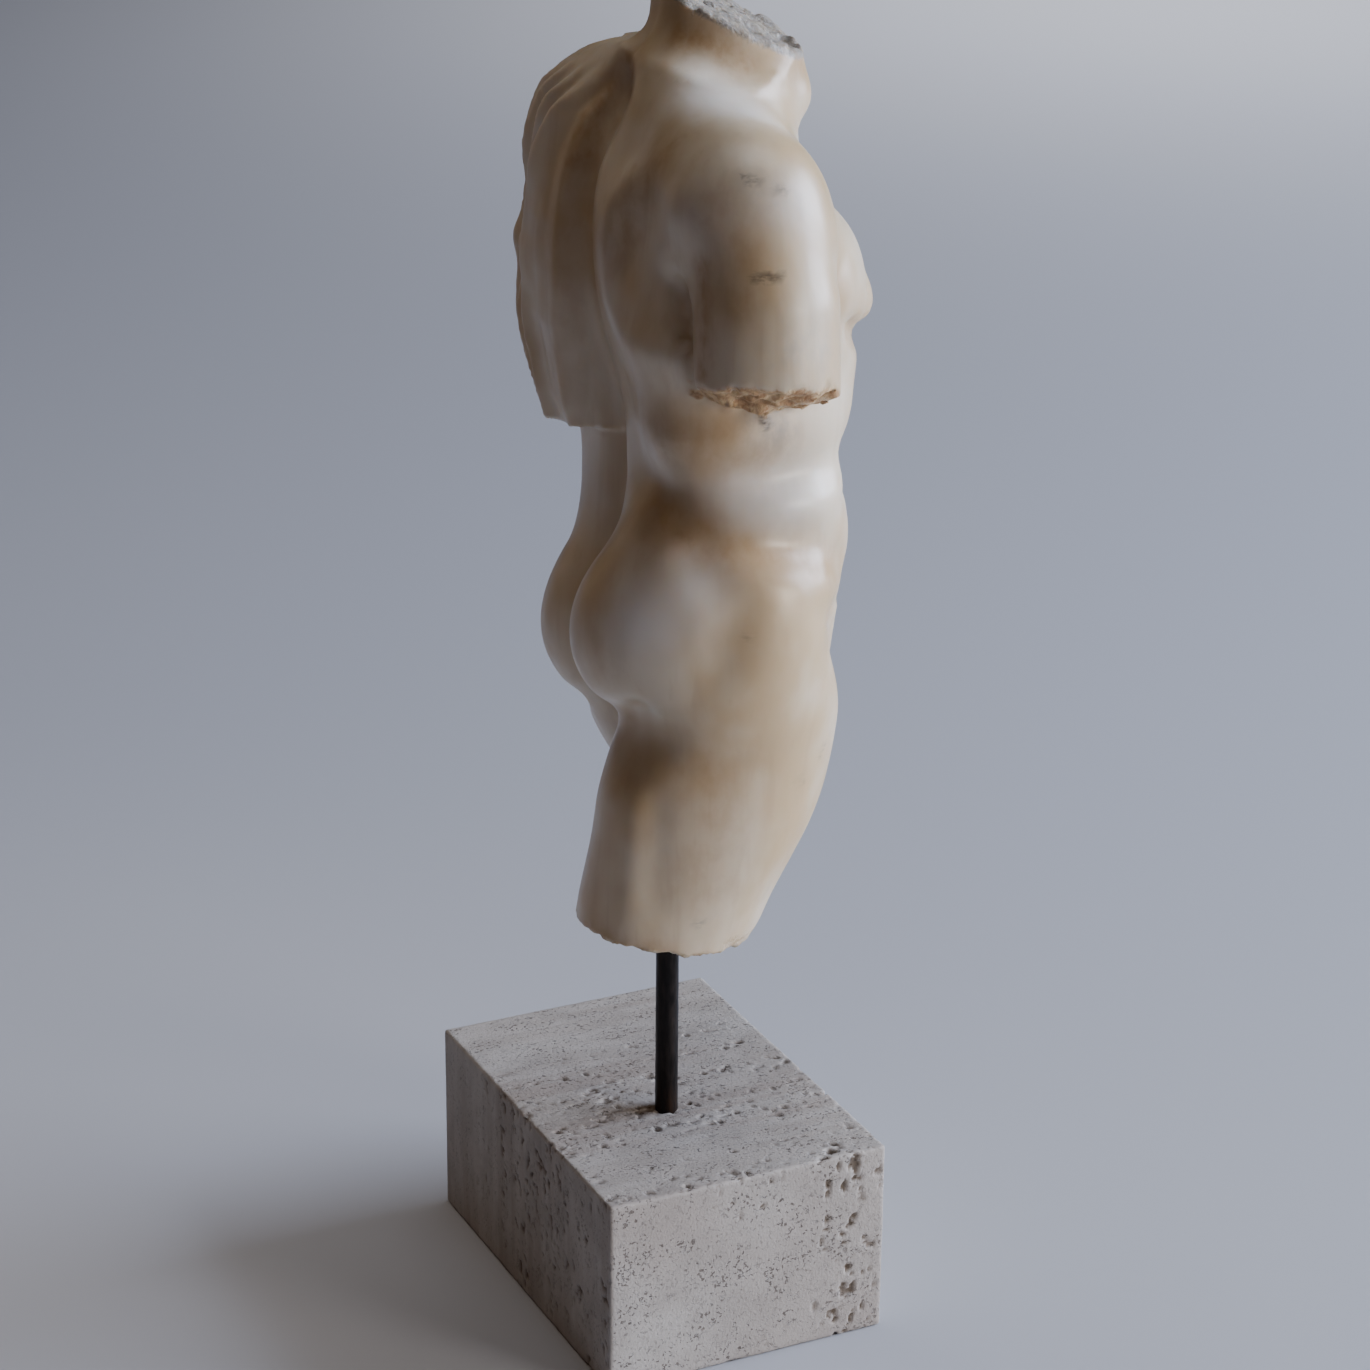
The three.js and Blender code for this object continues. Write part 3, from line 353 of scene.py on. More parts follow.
def mix(a, b, t):
    return a + (b - a) * t


def ease(v, low, high):
    t = np.clip((v - low) / (high - low), 0, 1)
    return t * t * (3 - 2 * t)


def join(a, b, soft):
    """Soft union of two fields: the smaller one, rounded where they meet."""
    h = np.maximum(soft - np.abs(a - b), 0) / soft
    return np.minimum(a, b) - h * h * soft / 4


def broken(a, b):
    """What is left of the field a where b cuts it, with a worn edge."""
    return -join(-a, -b, BREAK_SOFT)


def spanned(f, z, span):
    """The field cut off level at two heights."""
    return np.maximum.reduce([f, span[0] - z, z - span[1]])


def chipped(p, lumps, chips):
    """How uneven a break is at each point: flat chips of one or more sizes."""
    if not chips:
        return 0
    return sum(height * facets(p, size, seed) for seed, (size, height) in enumerate(lumps))


def section(rows, z):
    """A smooth curve through the rows of a table whose first column is the height."""
    rows = np.array(sorted(rows), float)
    at = np.clip(np.searchsorted(rows[:, 0], z) - 1, 0, len(rows) - 2)
    a, b, c, d = (rows[np.clip(at + k, 0, len(rows) - 1)] for k in (-1, 0, 1, 2))
    span = (c - b)[:, :1]
    t = np.clip((z[:, None] - b[:, :1]) / span, 0, 1)
    m0 = (c - a) / (c - a)[:, :1] * span
    m1 = (d - b) / (d - b)[:, :1] * span
    t2, t3 = t * t, t * t * t
    return ((2 * t3 - 3 * t2 + 1) * b + (t3 - 2 * t2 + t) * m0 + (3 * t2 - 2 * t3) * c + (t3 - t2) * m1).T


def oval(x, y, wide, front, back, square):
    """A field that is zero on a superellipse of the given half sizes."""
    deep = np.where(y < 0, front, back)
    ratio = (np.abs(x / wide) ** square + np.abs(y / deep) ** square) ** (1 / square)
    return (ratio - 1) * np.minimum(wide, (front + back) / 2)


def ellipsoid(p, middle, radii, turn):
    """A field of a rounded mass, turned by degrees about x, y and z."""
    radii = np.array(radii, float)
    cx, cy, cz = (math.cos(math.radians(t)) for t in turn)
    sx, sy, sz = (math.sin(math.radians(t)) for t in turn)
    about_x = np.array([[1, 0, 0], [0, cx, -sx], [0, sx, cx]])
    about_y = np.array([[cy, 0, sy], [0, 1, 0], [-sy, 0, cy]])
    about_z = np.array([[cz, -sz, 0], [sz, cz, 0], [0, 0, 1]])
    q = (p - middle) @ (about_x @ about_y @ about_z) / radii
    k0 = np.linalg.norm(q, axis=1)
    k1 = np.linalg.norm(q / radii, axis=1)
    return k0 * (k0 - 1) / np.maximum(k1, 1e-9)


def to_segment(p, a, b):
    """Squared distance from each point to the segment a-b, and how far along it that is."""
    a, b = np.array(a, float), np.array(b, float)
    ab = b - a
    t = np.clip((p - a) @ ab / max(ab @ ab, 1e-9), 0, 1)
    return ((p - a - t[:, None] * ab) ** 2).sum(1), t


def near(p, breadth, path):
    """How near each point is to a stroke, from 0 to 1 on it."""
    ends = path[1:] or path
    best = np.min([to_segment(p, a, b)[0] for a, b in zip(path, ends)], axis=0)
    return np.exp(-best / breadth**2)


def limb(p, path, radius):
    """A field of a round limb that changes its radius along a path."""
    best = np.full(len(p), np.inf)
    for a, b, ra, rb in zip(path, path[1:], radius, radius[1:]):
        d2, t = to_segment(p, a, b)
        best = np.minimum(best, np.sqrt(d2) - mix(ra, rb, t))
    return best


def lattice(cell, seed):
    """A repeatable number from 0 to 1 for each corner of a lattice. The large numbers only scramble it."""
    n = cell[:, 0] * 374761393 + cell[:, 1] * 668265263 + cell[:, 2] * 2147483647 + seed * 1274126177
    n = (n ^ (n >> 13)) * 1274126177
    return ((n ^ (n >> 16)) & 0xFFFF) / 65535


def mottle(p, size, seed):
    """Smooth noise from 0 to 1 with lumps of the given size."""
    q = p / size
    cell = np.floor(q).astype(np.int64)
    t = q - cell
    t = t * t * (3 - 2 * t)
    total = np.zeros(len(p))
    for corner in range(8):
        step = np.array([corner & 1, corner >> 1 & 1, corner >> 2])
        weight = np.prod(np.where(step, t, 1 - t), axis=1)
        total += weight * lattice(cell + step, seed)
    return total


def facets(p, size, seed):
    """Heights about 0 in uneven flat faces of the given size, as broken stone has."""
    q = p / size
    cell = np.floor(q).astype(np.int64)
    total, weights = np.zeros(len(p)), np.zeros(len(p))
    for n in range(27):
        at = cell + np.array([n % 3, n // 3 % 3, n // 9]) - 1
        middle = at + np.stack([lattice(at, seed * 9 + k) for k in (1, 2, 3)], 1)
        tilt = np.stack([lattice(at, seed * 9 + k) for k in (4, 5, 6)], 1) - 0.5
        weight = np.exp(-CHIP_SHARP * ((q - middle) ** 2).sum(1))
        total += weight * (lattice(at, seed * 9 + 7) - 0.5 + CHIP_TILT * ((q - middle) * tilt).sum(1))
        weights += weight
    return total / np.maximum(weights, 1e-12)


def plane(spec, x, y):
    """Height of a slanting plane over each x and y."""
    (sx, sy), (ax, ay) = spec["slope"], spec["at"]
    return spec["height"] + sx * (x - ax) + sy * (y - ay)


def unposed(p):
    """Takes points of the posed figure back to the upright, symmetric trunk."""
    x, y, z = p.T
    t = ease(z, POSE_FROM, POSE_TO)
    turn = np.radians(mix(PELVIS["turn"], CHEST["turn"], t))
    sx = x - mix(PELVIS["shift"], CHEST["shift"], t)
    c, s = np.cos(turn), np.sin(turn)
    return np.stack([c * sx + s * y, -s * sx + c * y, z + x * mix(PELVIS["tilt"], CHEST["tilt"], t)], 1)


def folds(p):
    """How far the cloak's folds stand up at each point."""
    x, y, z = p.T
    _, mx, my = section(CLOAK, z)[:3]
    angle = np.degrees(np.arctan2(x - mx, y - my))
    rise = np.zeros(len(p))
    for most, breadth, lie in FOLDS:
        off = (angle - np.interp(z, FOLDS_AT, lie) + 540) % 360 - 180
        off = off / breadth / np.where(off > 0, *FOLD_LEAN)
        off = np.sqrt(off * off + FOLD_CREST[0]) - FOLD_CREST[1]
        rise = np.maximum(rise, most * np.clip(1 - off, 0, 1) ** FOLD_FALL)
    return rise * ease(z, *FOLDS_DIE)


def draped(p, body):
    """The body with the cloak over it."""
    x, y, z = p.T
    _, mx, my, wide, front, back = section(CLOAK, z)
    bulk = np.maximum(oval(x - mx, y - my, wide, front, back, CLOAK_SQUARE), z - CLOAK[0][0])
    f = join(bulk, limb(p, BLADE_DRAPE["path"], BLADE_DRAPE["radius"]), DRAPE_SOFT)
    f = join(f, body - CLOAK_THICK, UNDER_SOFT) - folds(p)
    front_edge = np.where(y < 0, np.interp(z, *np.array(CLOAK_FRONT_EDGE, float).T) - x, -np.inf)
    f = np.maximum.reduce([f, front_edge, plane(HEM, x, y) - z])
    return mix(body, join(body, f, EDGE_SOFT), ease(x, *CLOAK_FROM_SPINE))


def arm_stop(p, chips):
    """Height of the arm's break: a rounded core hangs lower than its rim."""
    x, y, _ = p.T
    core_x, core_y = ARM_CORE["middle"]
    core = 1 - ((x - core_x) ** 2 + (y - core_y) ** 2) / ARM_CORE["radius"] ** 2
    return plane(ARM_BREAK, x, y) - ARM_CORE["drop"] * np.clip(core, -0.5, 1) + chipped(p, ARM_CHIPS, chips)


def figure(p, chips=False):
    """The carving's field: below zero in the marble, and about the distance to its surface elsewhere."""
    x, y, z = p.T
    q = unposed(p)
    u, v, w = q.T
    q[:, 0] = np.abs(u)
    _, middle, wide, front, back, square = section(TRUNK, w)
    f = spanned(oval(u, v - middle, wide, front, back, square), w, (TRUNK[0][0], TRUNK[-1][0]))
    for soft, *mass in PAIRS.values():
        f = join(f, ellipsoid(q, *mass), soft)
    for table, stop in ((RIGHT_THIGH, RIGHT_BREAK), (LEFT_THIGH, LEFT_BREAK)):
        _, mx, my, wide, front, back = section(table, z)
        thigh = spanned(oval(x - mx, y - my, wide, front, back, 2), z, THIGH_SPAN)
        f = join(f, broken(thigh, plane(stop, x, y) + chipped(p, THIGH_CHIPS, chips) - z), THIGH_SOFT)
    for soft, *mass in MASSES.values():
        f = join(f, ellipsoid(p, *mass), soft)
    _, mx, my, wide, front, back = section(NECK, z)
    f = join(f, spanned(oval(x - mx, y - my, wide, front, back, 2), z, NECK_SPAN), NECK_SOFT)
    arm = broken(limb(p, RIGHT_ARM["path"], RIGHT_ARM["radius"]), (arm_stop(p, chips) - z) * ARM_BREAK_RISE)
    f = join(f, arm, mix(*ARM_SOFT, ease(z, *ARM_SOFT_BETWEEN)))
    close = f < STROKE_REACH
    for points, strokes in ((q[close], PAIR_STROKES), (p[close], STROKES)):
        for depth, breadth, path in strokes.values():
            f[close] += depth * near(points, breadth, path)
    f = draped(p, f)
    return broken(f, (z - plane(NECK_BREAK, x, y) + chipped(p, NECK_CHIPS, chips)) * NECK_BREAK_RISE)


def round_arm(x, z, space):
    beyond, low, high = space
    return (x < beyond) & (z < high) & (z > low)


def chipped_figure(p):
    """The carving's field with uneven breaks; the chips are worked out only beside them."""
    f = figure(p)
    x, y, z = p.T
    beside = (np.abs(z - plane(NECK_BREAK, x, y)) < CHIPS_NEAR) | (z < CHIPS_BELOW)
    beside |= round_arm(x, z, CHIPS_ROUND_ARM)
    f[beside] = figure(p[beside], True)
    for depth, breadth, path in FINE_STROKES.values():
        f += depth * near(p, breadth, path)
    return f


def in_batches(work, points, size=200000):
    return np.concatenate([work(points[i : i + size]) for i in range(0, len(points), size)])


def slope(field, p, step=0.4):
    """The field at each point, and how it rises along x, y and z."""
    f = field(p)
    g = np.stack([field(p + step * axis) - f for axis in np.eye(3)], 1) / step
    return f, g


def settle(field, p, passes=3, reach=2.0):
    """Draws points onto the field's surface along the steepest way."""
    for _ in range(passes):
        f, g = slope(field, p)
        move = -f[:, None] * g / np.maximum((g**2).sum(1, keepdims=True), 0.1)
        length = np.linalg.norm(move, axis=1, keepdims=True)
        p = p + move * np.minimum(1, reach / np.maximum(length, 1e-9))
    return p


def skin(field, low, high, cell):
    """Points and four-sided faces round the field: one point in each cell that the surface crosses."""
    axes = [np.arange(a, b + cell, cell) for a, b in zip(low, high)]
    grid = np.stack(np.meshgrid(*axes, indexing="ij"), -1)
    value = in_batches(field, grid.reshape(-1, 3)).reshape(grid.shape[:3])
    total = np.zeros([n - 1 for n in value.shape] + [3])
    count = np.zeros([n - 1 for n in value.shape])
    faces = []
    crossings = []
    for axis in range(3):
        near_side = [slice(None)] * 3
        far_side = [slice(None)] * 3
        near_side[axis], far_side[axis] = slice(0, -1), slice(1, None)
        a, b = value[tuple(near_side)], value[tuple(far_side)]
        crossed = (a < 0) != (b < 0)
        t = np.where(crossed, a / np.where(crossed, a - b, 1), 0)[..., None]
        place = mix(grid[tuple(near_side)], grid[tuple(far_side)], t)
        crossings.append((crossed, a < 0))
        others = [k for k in range(3) if k != axis]
        for i in (0, 1):
            for j in (0, 1):
                cells = [slice(None)] * 3
                for k, shift in zip(others, (i, j)):
                    cells[k] = slice(shift, value.shape[k] - 1 + shift)
                hit = crossed[tuple(cells)]
                total[hit] += place[tuple(cells)][hit]
                count[hit] += 1
    used = count > 0
    index = np.full(count.shape, -1)
    index[used] = np.arange(used.sum())
    points = total[used] / count[used][:, None]
    for axis, (crossed, starts_inside) in enumerate(crossings):
        i, j, k = np.nonzero(crossed)
        where = np.stack([i, j, k], 1)
        p, q = (axis + 1) % 3, (axis + 2) % 3
        inner = (where[:, p] > 0) & (where[:, p] < count.shape[p])
        inner &= (where[:, q] > 0) & (where[:, q] < count.shape[q])
        where = where[inner]
        flip = ~starts_inside[tuple(where.T)]
        step_p, step_q = np.eye(3, dtype=int)[p], np.eye(3, dtype=int)[q]
        ring = [index[tuple((where - s).T)] for s in (step_p + step_q, step_q, 0 * step_p, step_p)]
        ring = np.stack(ring, 1)
        ring[flip] = ring[flip][:, ::-1]
        faces.append(ring)
    return points, np.concatenate(faces)


def relaxed(points, faces, passes=2, share=0.5):
    """Evens the points out along the surface, each towards the middle of its neighbours."""
    for _ in range(passes):
        total = np.zeros_like(points)
        count = np.zeros(len(points))
        for k in range(4):
            for a, b in ((faces[:, k], faces[:, k - 1]), (faces[:, k - 1], faces[:, k])):
                np.add.at(total, a, points[b])
                np.add.at(count, a, 1)
        points = mix(points, total / count[:, None], share)
    return points


def shaped(name, points, faces, material):
    """A mesh piece from points in millimetres. Faces with more than four sides stay flat."""
    mesh = bpy.data.meshes.new(name)
    mesh.from_pydata((points * MM).tolist(), [], faces)
    mesh.polygons.foreach_set("use_smooth", [len(face) == 4 for face in faces])
    mesh.materials.append(material)
    piece = bpy.data.objects.new(name, mesh)
    bpy.context.scene.collection.objects.link(piece)
    return piece


def points_of(piece):
    """A piece's points in millimetres."""
    flat = np.empty(len(piece.data.vertices) * 3, np.float32)
    piece.data.vertices.foreach_get("co", flat)
    return flat.reshape(-1, 3).astype(float) / MM


def move_points(piece, points):
    piece.data.vertices.foreach_set("co", (points * MM).astype(np.float32).ravel())
    piece.data.update()


def refined(piece, chosen):
    """Cuts the faces between chosen points in four, joined cleanly to those round them."""
    work = bmesh.new()
    work.from_mesh(piece.data)
    work.verts.ensure_lookup_table()
    edges = [e for e in work.edges if chosen[e.verts[0].index] and chosen[e.verts[1].index]]
    bmesh.ops.subdivide_edges(work, edges=edges, cuts=1, use_grid_fill=True, use_single_edge=True)
    work.to_mesh(piece.data)
    work.free()
    piece.data.polygons.foreach_set("use_smooth", [True] * len(piece.data.polygons))


def paint(piece, name, values):
    """Keeps a number for each point of a piece, which its material reads."""
    layer = piece.data.attributes.new(name, "FLOAT", "POINT")
    layer.data.foreach_set("value", np.asarray(values, np.float32))


def figure_to_frame(points):
    """From the carving's layout to the frame's, both in millimetres."""
    entry = np.array([*ROD_AXIS, BLOCK_HIGH[2] + ROD_SHOWING])
    return (points - ROD_ENTRY) * CARVING_SCALE + entry


def strokes_at(p, table):
    """The strongest of a table's strokes at each point."""
    return np.max([strength * near(p, breadth, path) for strength, breadth, path in table.values()], axis=0)


def on_breaks(p, wide):
    """Which points lie within the given distance of the neck's, the arm's and the thighs' breaks."""
    x, y, z = p.T
    neck = z - plane(NECK_BREAK, x, y) > -wide
    arm = round_arm(x, z, ARM_END) & (z - arm_stop(p, False) < wide)
    stop = np.where(x < BETWEEN_THIGHS, plane(RIGHT_BREAK, x, y), plane(LEFT_BREAK, x, y))
    thighs = (z < THIGH_ENDS) & (z - stop < wide)
    return neck, arm, thighs


def marble_torso(material):
    points, faces = skin(figure, *CARVING_SPACE, CARVING_CELL)
    points = settle(figure, points, 2)
    points = settle(figure, relaxed(points, faces), 2)
    piece = shaped("marble_torso_carving", points, faces.tolist(), material)
    refined(piece, points[:, 0] > FINE_FROM)
    points = settle(chipped_figure, points_of(piece), 3)
    move_points(piece, points)
    refined(piece, np.any(on_breaks(points, FINE_BREAKS), axis=0))
    points = points_of(piece)
    for part in on_breaks(points, ROUND_BREAKS):
        points[part] = settle(chipped_figure, points[part], 3)
    _, normal = slope(figure, points)
    normal /= np.maximum(np.linalg.norm(normal, axis=1, keepdims=True), 1e-9)
    # How enclosed each point is: the ochre patina and the painted shade of the hollows follow it
    hollow_patina_and_shade = np.zeros(len(points))
    for reach, weight in HOLLOW_REACHES:
        hollow_patina_and_shade += weight * np.clip(1 - figure(points + normal * reach) / reach, 0, 1)
    place = figure_to_frame(points)
    move_points(piece, np.clip(place, *(np.array(corner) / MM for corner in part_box("marble_torso"))))
    paint(piece, "hollow_patina_and_shade", hollow_patina_and_shade)
    # The stains carry painted shade too, and the pale patches are painted highlights; the spots and veils
    # are the stone's own
    for name, table in (("stain_and_shade", STAINS_AND_SHADE), ("spot", SPOTS), ("veil", VEILS), ("rubbing_and_painted_sheen", PAINTED_SHEEN)):
        paint(piece, name, strokes_at(points, table))
    x, y, z = points.T
    neck, arm, thighs = on_breaks(points, ROUND_BREAKS)
    core_x, core_y = ARM_CORE["middle"]
    down = -normal[:, 2]
    arm = arm * ease(-np.hypot(x - core_x, y - core_y), *ARM_RIM_FADE) * ease(down, *ARM_FACING)
    paint(piece, "neck_break", neck * ease(z - plane(NECK_BREAK, x, y), *NECK_FADE))
    paint(piece, "arm_break", arm * ease(-np.abs(z - arm_stop(points, True)), *ARM_FADE))
    paint(piece, "thigh_break", thighs * ease(down, *THIGH_FACING))
    return piece


def grid_box(low, high, cell):
    """Points and four-sided faces all over a box, in cells of about the given size."""
    counts = [max(1, round((b - a) / cell)) for a, b in zip(low, high)]
    axes = [np.linspace(a, b, n + 1) for a, b, n in zip(low, high, counts)]
    shape = [n + 1 for n in counts]
    faces = []
    for axis in range(3):
        p, q = (axis + 1) % 3, (axis + 2) % 3
        u, v = np.meshgrid(np.arange(counts[p]), np.arange(counts[q]), indexing="ij")
        for end in (0, counts[axis]):
            ring = []
            for du, dv in ((0, 0), (1, 0), (1, 1), (0, 1)):
                index = [None] * 3
                index[axis], index[p], index[q] = np.full(u.size, end), (u + du).ravel(), (v + dv).ravel()
                ring.append(np.ravel_multi_index(index, shape))
            faces.append(np.stack(ring if end else ring[::-1], 1))
    used, faces = np.unique(np.concatenate(faces), return_inverse=True)
    where = np.unravel_index(used, shape)
    points = np.stack([axes[k][where[k]] for k in range(3)], 1)
    return points, faces.reshape(-1, 4)


def pits(p):
    """Depth of the travertine's pits. They lie in beds that stand across the block's length,
    so they are rows on the top, upright slots on the back and scattered holes on the end."""
    x, y, z = p.T
    bend = 5 * mottle(p, 46, 3)
    bed = mottle(np.stack([x + bend, 0 * y, 0 * z], 1), 7, 4)
    plain = ease(x + 0.12 * y, *PLAIN)
    patch = mottle(p * (0.6, 1, 1), 26, 5)
    open_bed = ease(bed + 0.6 * patch, 0.55, 1.15) * (1 - plain)
    ragged = mottle(p, 1.6, 8)
    small = ease(mottle(p / (0.9, 1.2, 1.2), 2.4, 6) * 0.75 + 0.25 * ragged + 0.14 * open_bed, 0.84, 0.93)
    run = ease(mottle(p / (1, 2, 1.7), 2.6, 7) * 0.7 + 0.3 * ragged + 0.16 * open_bed, 0.86, 0.93)
    worn = [most * np.exp(-(((p - at) / reach) ** 2).sum(1)) for at, reach, most in WORN_PLACES]
    worn = np.max(worn, axis=0)
    hole = ease(mottle(p / (1, 0.9, 1.4), 3.4, 9) * 0.62 + 0.38 * ragged + 0.14 * worn, 0.75, 0.84)
    rod = np.hypot(x - ROD_AXIS[0], y - ROD_AXIS[1])
    drilled = (z > BLOCK_HIGH[2] - 4) * ease(-rod, -11, -6) * ease(mottle(p, 2.6, 11), 0.3, 0.6)
    beds = SMALL_PIT * small * (0.2 + open_bed) + RUN_PIT * run * open_bed
    return beds + HOLE_PIT * hole * worn**0.7 + ROD_CHIP * drilled


def travertine_block(material):
    """The block, its arrises worn round by one or two millimetres and its faces pitted."""
    points, faces = grid_box(BLOCK_LOW, BLOCK_HIGH, BLOCK_CELL)
    arris = 1.1 + 0.9 * mottle(points, 9, 1)
    core = np.clip(points, BLOCK_LOW + arris[:, None], BLOCK_HIGH - arris[:, None])
    out = points - core
    out /= np.linalg.norm(out, axis=1, keepdims=True)
    depth = in_batches(pits, points)
    points = core + out * (arris - depth)[:, None]
    piece = shaped("travertine_block_pitted", points, faces.tolist(), material)
    paint(piece, "pit", depth)
    return piece


def steel_rod(material):
    """The round rod, its ends eased and its sides a little uneven from the forge."""
    length = ROD_HIGH[2] - ROD_LOW[2]
    between = np.arange(ROD_RING, length - ROD_RING + 1, ROD_RING)
    heights = np.concatenate([[0, ROD_EASED], between, [length - ROD_EASED, length]])
    turn = np.arange(ROD_SIDES) * 2 * math.pi / ROD_SIDES
    rings = []
    for height in heights:
        radius = ROD_RADIUS - (ROD_EASED if height in (0, length) else 0)
        rings.append(np.stack([np.cos(turn) * radius, np.sin(turn) * radius, 0 * turn + height], 1))
    points = np.concatenate(rings)
    dents = ROD_DENTS * mottle(points, 5, 2) * (np.hypot(points[:, 0], points[:, 1]) > ROD_RADIUS - 0.1)
    points[:, :2] *= (1 - dents / ROD_RADIUS)[:, None]
    points += [*ROD_AXIS, ROD_LOW[2]]
    ring, side = np.arange(len(heights) - 1)[:, None] * ROD_SIDES, np.arange(ROD_SIDES)
    here, beside = ring + side, ring + (side + 1) % ROD_SIDES
    faces = np.stack([here, beside, beside + ROD_SIDES, here + ROD_SIDES], -1).reshape(-1, 4).tolist()
    faces += [side[::-1].tolist(), (side + len(points) - ROD_SIDES).tolist()]
    return shaped("steel_rod_blackened", points, faces, material)


def tint(code):
    """An sRGB hex colour in linear light."""
    parts = [int(code[i : i + 2], 16) / 255 for i in (1, 3, 5)]
    return tuple(v / 12.92 if v <= 0.04045 else ((v + 0.055) / 1.055) ** 2.4 for v in parts) + (1.0,)


def add(m, kind, *feeds, out=0, **settings):
    """Adds a node. Feeds are (socket, value or another node's output); settings are its own options."""
    n = m.node_tree.nodes.new("ShaderNode" + kind)
    for name, value in settings.items():
        setattr(n, name, value)
    for socket, value in feeds:
        if isinstance(value, bpy.types.NodeSocket):
            m.node_tree.links.new(value, n.inputs[socket])
        else:
            n.inputs[socket].default_value = value
    return n.outputs[out]


def finish(name, **values):
    """A new material and its shader, with the values that are the same all over."""
    m = bpy.data.materials.new(name)
    m.use_nodes = True
    shader = m.node_tree.nodes["Principled BSDF"]
    for socket, value in values.items():
        shader.inputs[socket.replace("_", " ")].default_value = value
    return m, shader


def in_mm(m, x=1.0, y=1.0, z=1.0):
    """The piece's own coordinates, in units of the given millimetres."""
    place = add(m, "TexCoord", out="Object")
    return add(m, "VectorMath", (0, place), (1, (1000 / x, 1000 / y, 1000 / z)), operation="MULTIPLY")


def cloud(m, at, low, high, detail=3.0, rough=0.55):
    """Smooth noise of unit size, drawn out from 0 to 1 between two of its values."""
    noise = add(m, "TexNoise", ("Vector", at), ("Scale", 1.0), ("Detail", detail), ("Roughness", rough))
    return add(m, "MapRange", (0, noise), (1, low), (2, high), interpolation_type="SMOOTHSTEP")


def maths(m, operation, a, b):
    return add(m, "Math", (0, a), (1, b), operation=operation)


def blended(m, share, under, over):
    """One colour over another, by a share from 0 to 1."""
    return add(m, "MixRGB", ("Fac", share), ("Color1", under), ("Color2", over))


def kept(m, name):
    """What was painted on the piece's points under a name."""
    return add(m, "Attribute", attribute_name=name, out="Fac")


def worn_marble():
    # Fine white marble, carved, rubbed smooth and handled for ages. Light goes a few millimetres in, so
    # thin edges glow and shadows are warm. The worn polish gives broad, pale gleams.
    scatter = {"Subsurface_Weight": 0.4, "Subsurface_Scale": 0.0035, "Subsurface_Radius": (1.0, 0.6, 0.34)}
    m, shader = finish("worn_honey_marble", IOR=1.5, Coat_Weight=0.5, Coat_Roughness=0.3, **scatter)
    # Clouds of honey colour a hand wide, and drips of old wash that run down
    clouds = cloud(m, in_mm(m, 70, 70, 95), 0.40, 0.64)
    drips = cloud(m, in_mm(m, 7, 7, 90), 0.50, 0.72)
    mottling = cloud(m, in_mm(m, 9, 9, 12), 0.35, 0.68, 5.0)
    colour = blended(m, clouds, tint("#dccdb3"), tint("#c8ae86"))
    colour = blended(m, maths(m, "MULTIPLY", drips, 0.22), colour, tint("#b89c78"))
    # Painted highlights: the pale patches are mixed to a cool white where the light gleams
    colour = blended(m, maths(m, "MULTIPLY", kept(m, "rubbing_and_painted_sheen"), 0.75), colour, tint("#f0eeea"))
    # Ochre lies in the hollows and where the stains were painted, broken up by the mottling: partly patina,
    # partly painted shade of the creases, undersides and sides turned from the light
    deep = add(m, "MapRange", (0, kept(m, "hollow_patina_and_shade")), (1, 0.30), (2, 0.72))
    deep = maths(m, "MULTIPLY", deep, 0.55)
    stain_and_shade = maths(m, "MULTIPLY", kept(m, "stain_and_shade"), maths(m, "MULTIPLY_ADD", mottling, 0.45))
    ochre = maths(m, "MAXIMUM", deep, stain_and_shade)
    colour = blended(m, ochre, colour, tint("#a47a44"))
    veil = maths(m, "MULTIPLY", kept(m, "veil"), mottling)
    colour = blended(m, maths(m, "MULTIPLY", veil, 0.6), colour, tint("#8f8d88"))
    # Short dark mineral veins, ragged at a millimetre's size
    ragged = cloud(m, in_mm(m, 5, 5, 1.6), 0.30, 0.60, 3.0)
    colour = blended(m, maths(m, "MULTIPLY", kept(m, "spot"), ragged), colour, tint("#2e2825"))
    # Breaks: sugary grey crystal at the neck, orange-brown iron stain at the arm, dull ochre below
    grit = cloud(m, in_mm(m, 1.8, 1.8, 1.8), 0.30, 0.70, 4.0)
    chips = cloud(m, in_mm(m, 7, 7, 7), 0.38, 0.62, 3.0)
    crystal = blended(m, grit, tint("#85817a"), tint("#a5a098"))
    crystal = blended(m, maths(m, "MULTIPLY", chips, 0.4), crystal, tint("#a09177"))
    rust = blended(m, chips, tint("#a5794a"), tint("#d9b788"))
    rust = blended(m, maths(m, "MULTIPLY", grit, 0.35), rust, tint("#e0c39a"))
    dull = blended(m, chips, tint("#b39973"), tint("#d2c3a8"))
    for name, stone in (("neck_break", crystal), ("arm_break", rust), ("thigh_break", dull)):
        colour = blended(m, kept(m, name), colour, stone)
    m.node_tree.links.new(colour, shader.inputs["Base Color"])
    broken_share = maths(m, "MAXIMUM", kept(m, "neck_break"), kept(m, "arm_break"))
    broken_share = maths(m, "MAXIMUM", broken_share, kept(m, "thigh_break"))
    sheen = add(m, "MapRange", (0, mottling), (3, 0.36), (4, 0.50))
    rough = maths(m, "MAXIMUM", sheen, maths(m, "MULTIPLY", broken_share, 0.85))
    m.node_tree.links.new(rough, shader.inputs["Roughness"])
    # The hand-rubbed surface dips a tenth of a millimetre over a finger's width; grains are 1 mm
    rubbing_and_painted_sheen = cloud(m, in_mm(m, 16, 16, 20), 0.2, 0.8, 2.0)
    bump = add(m, "Bump", ("Height", rubbing_and_painted_sheen), ("Strength", 0.3), ("Distance", 0.0005))
    grain = maths(m, "MULTIPLY", grit, broken_share)
    bump = add(m, "Bump", ("Height", grain), ("Strength", 0.6), ("Distance", 0.0005), ("Normal", bump))
    m.node_tree.links.new(bump, shader.inputs["Normal"])
    return m


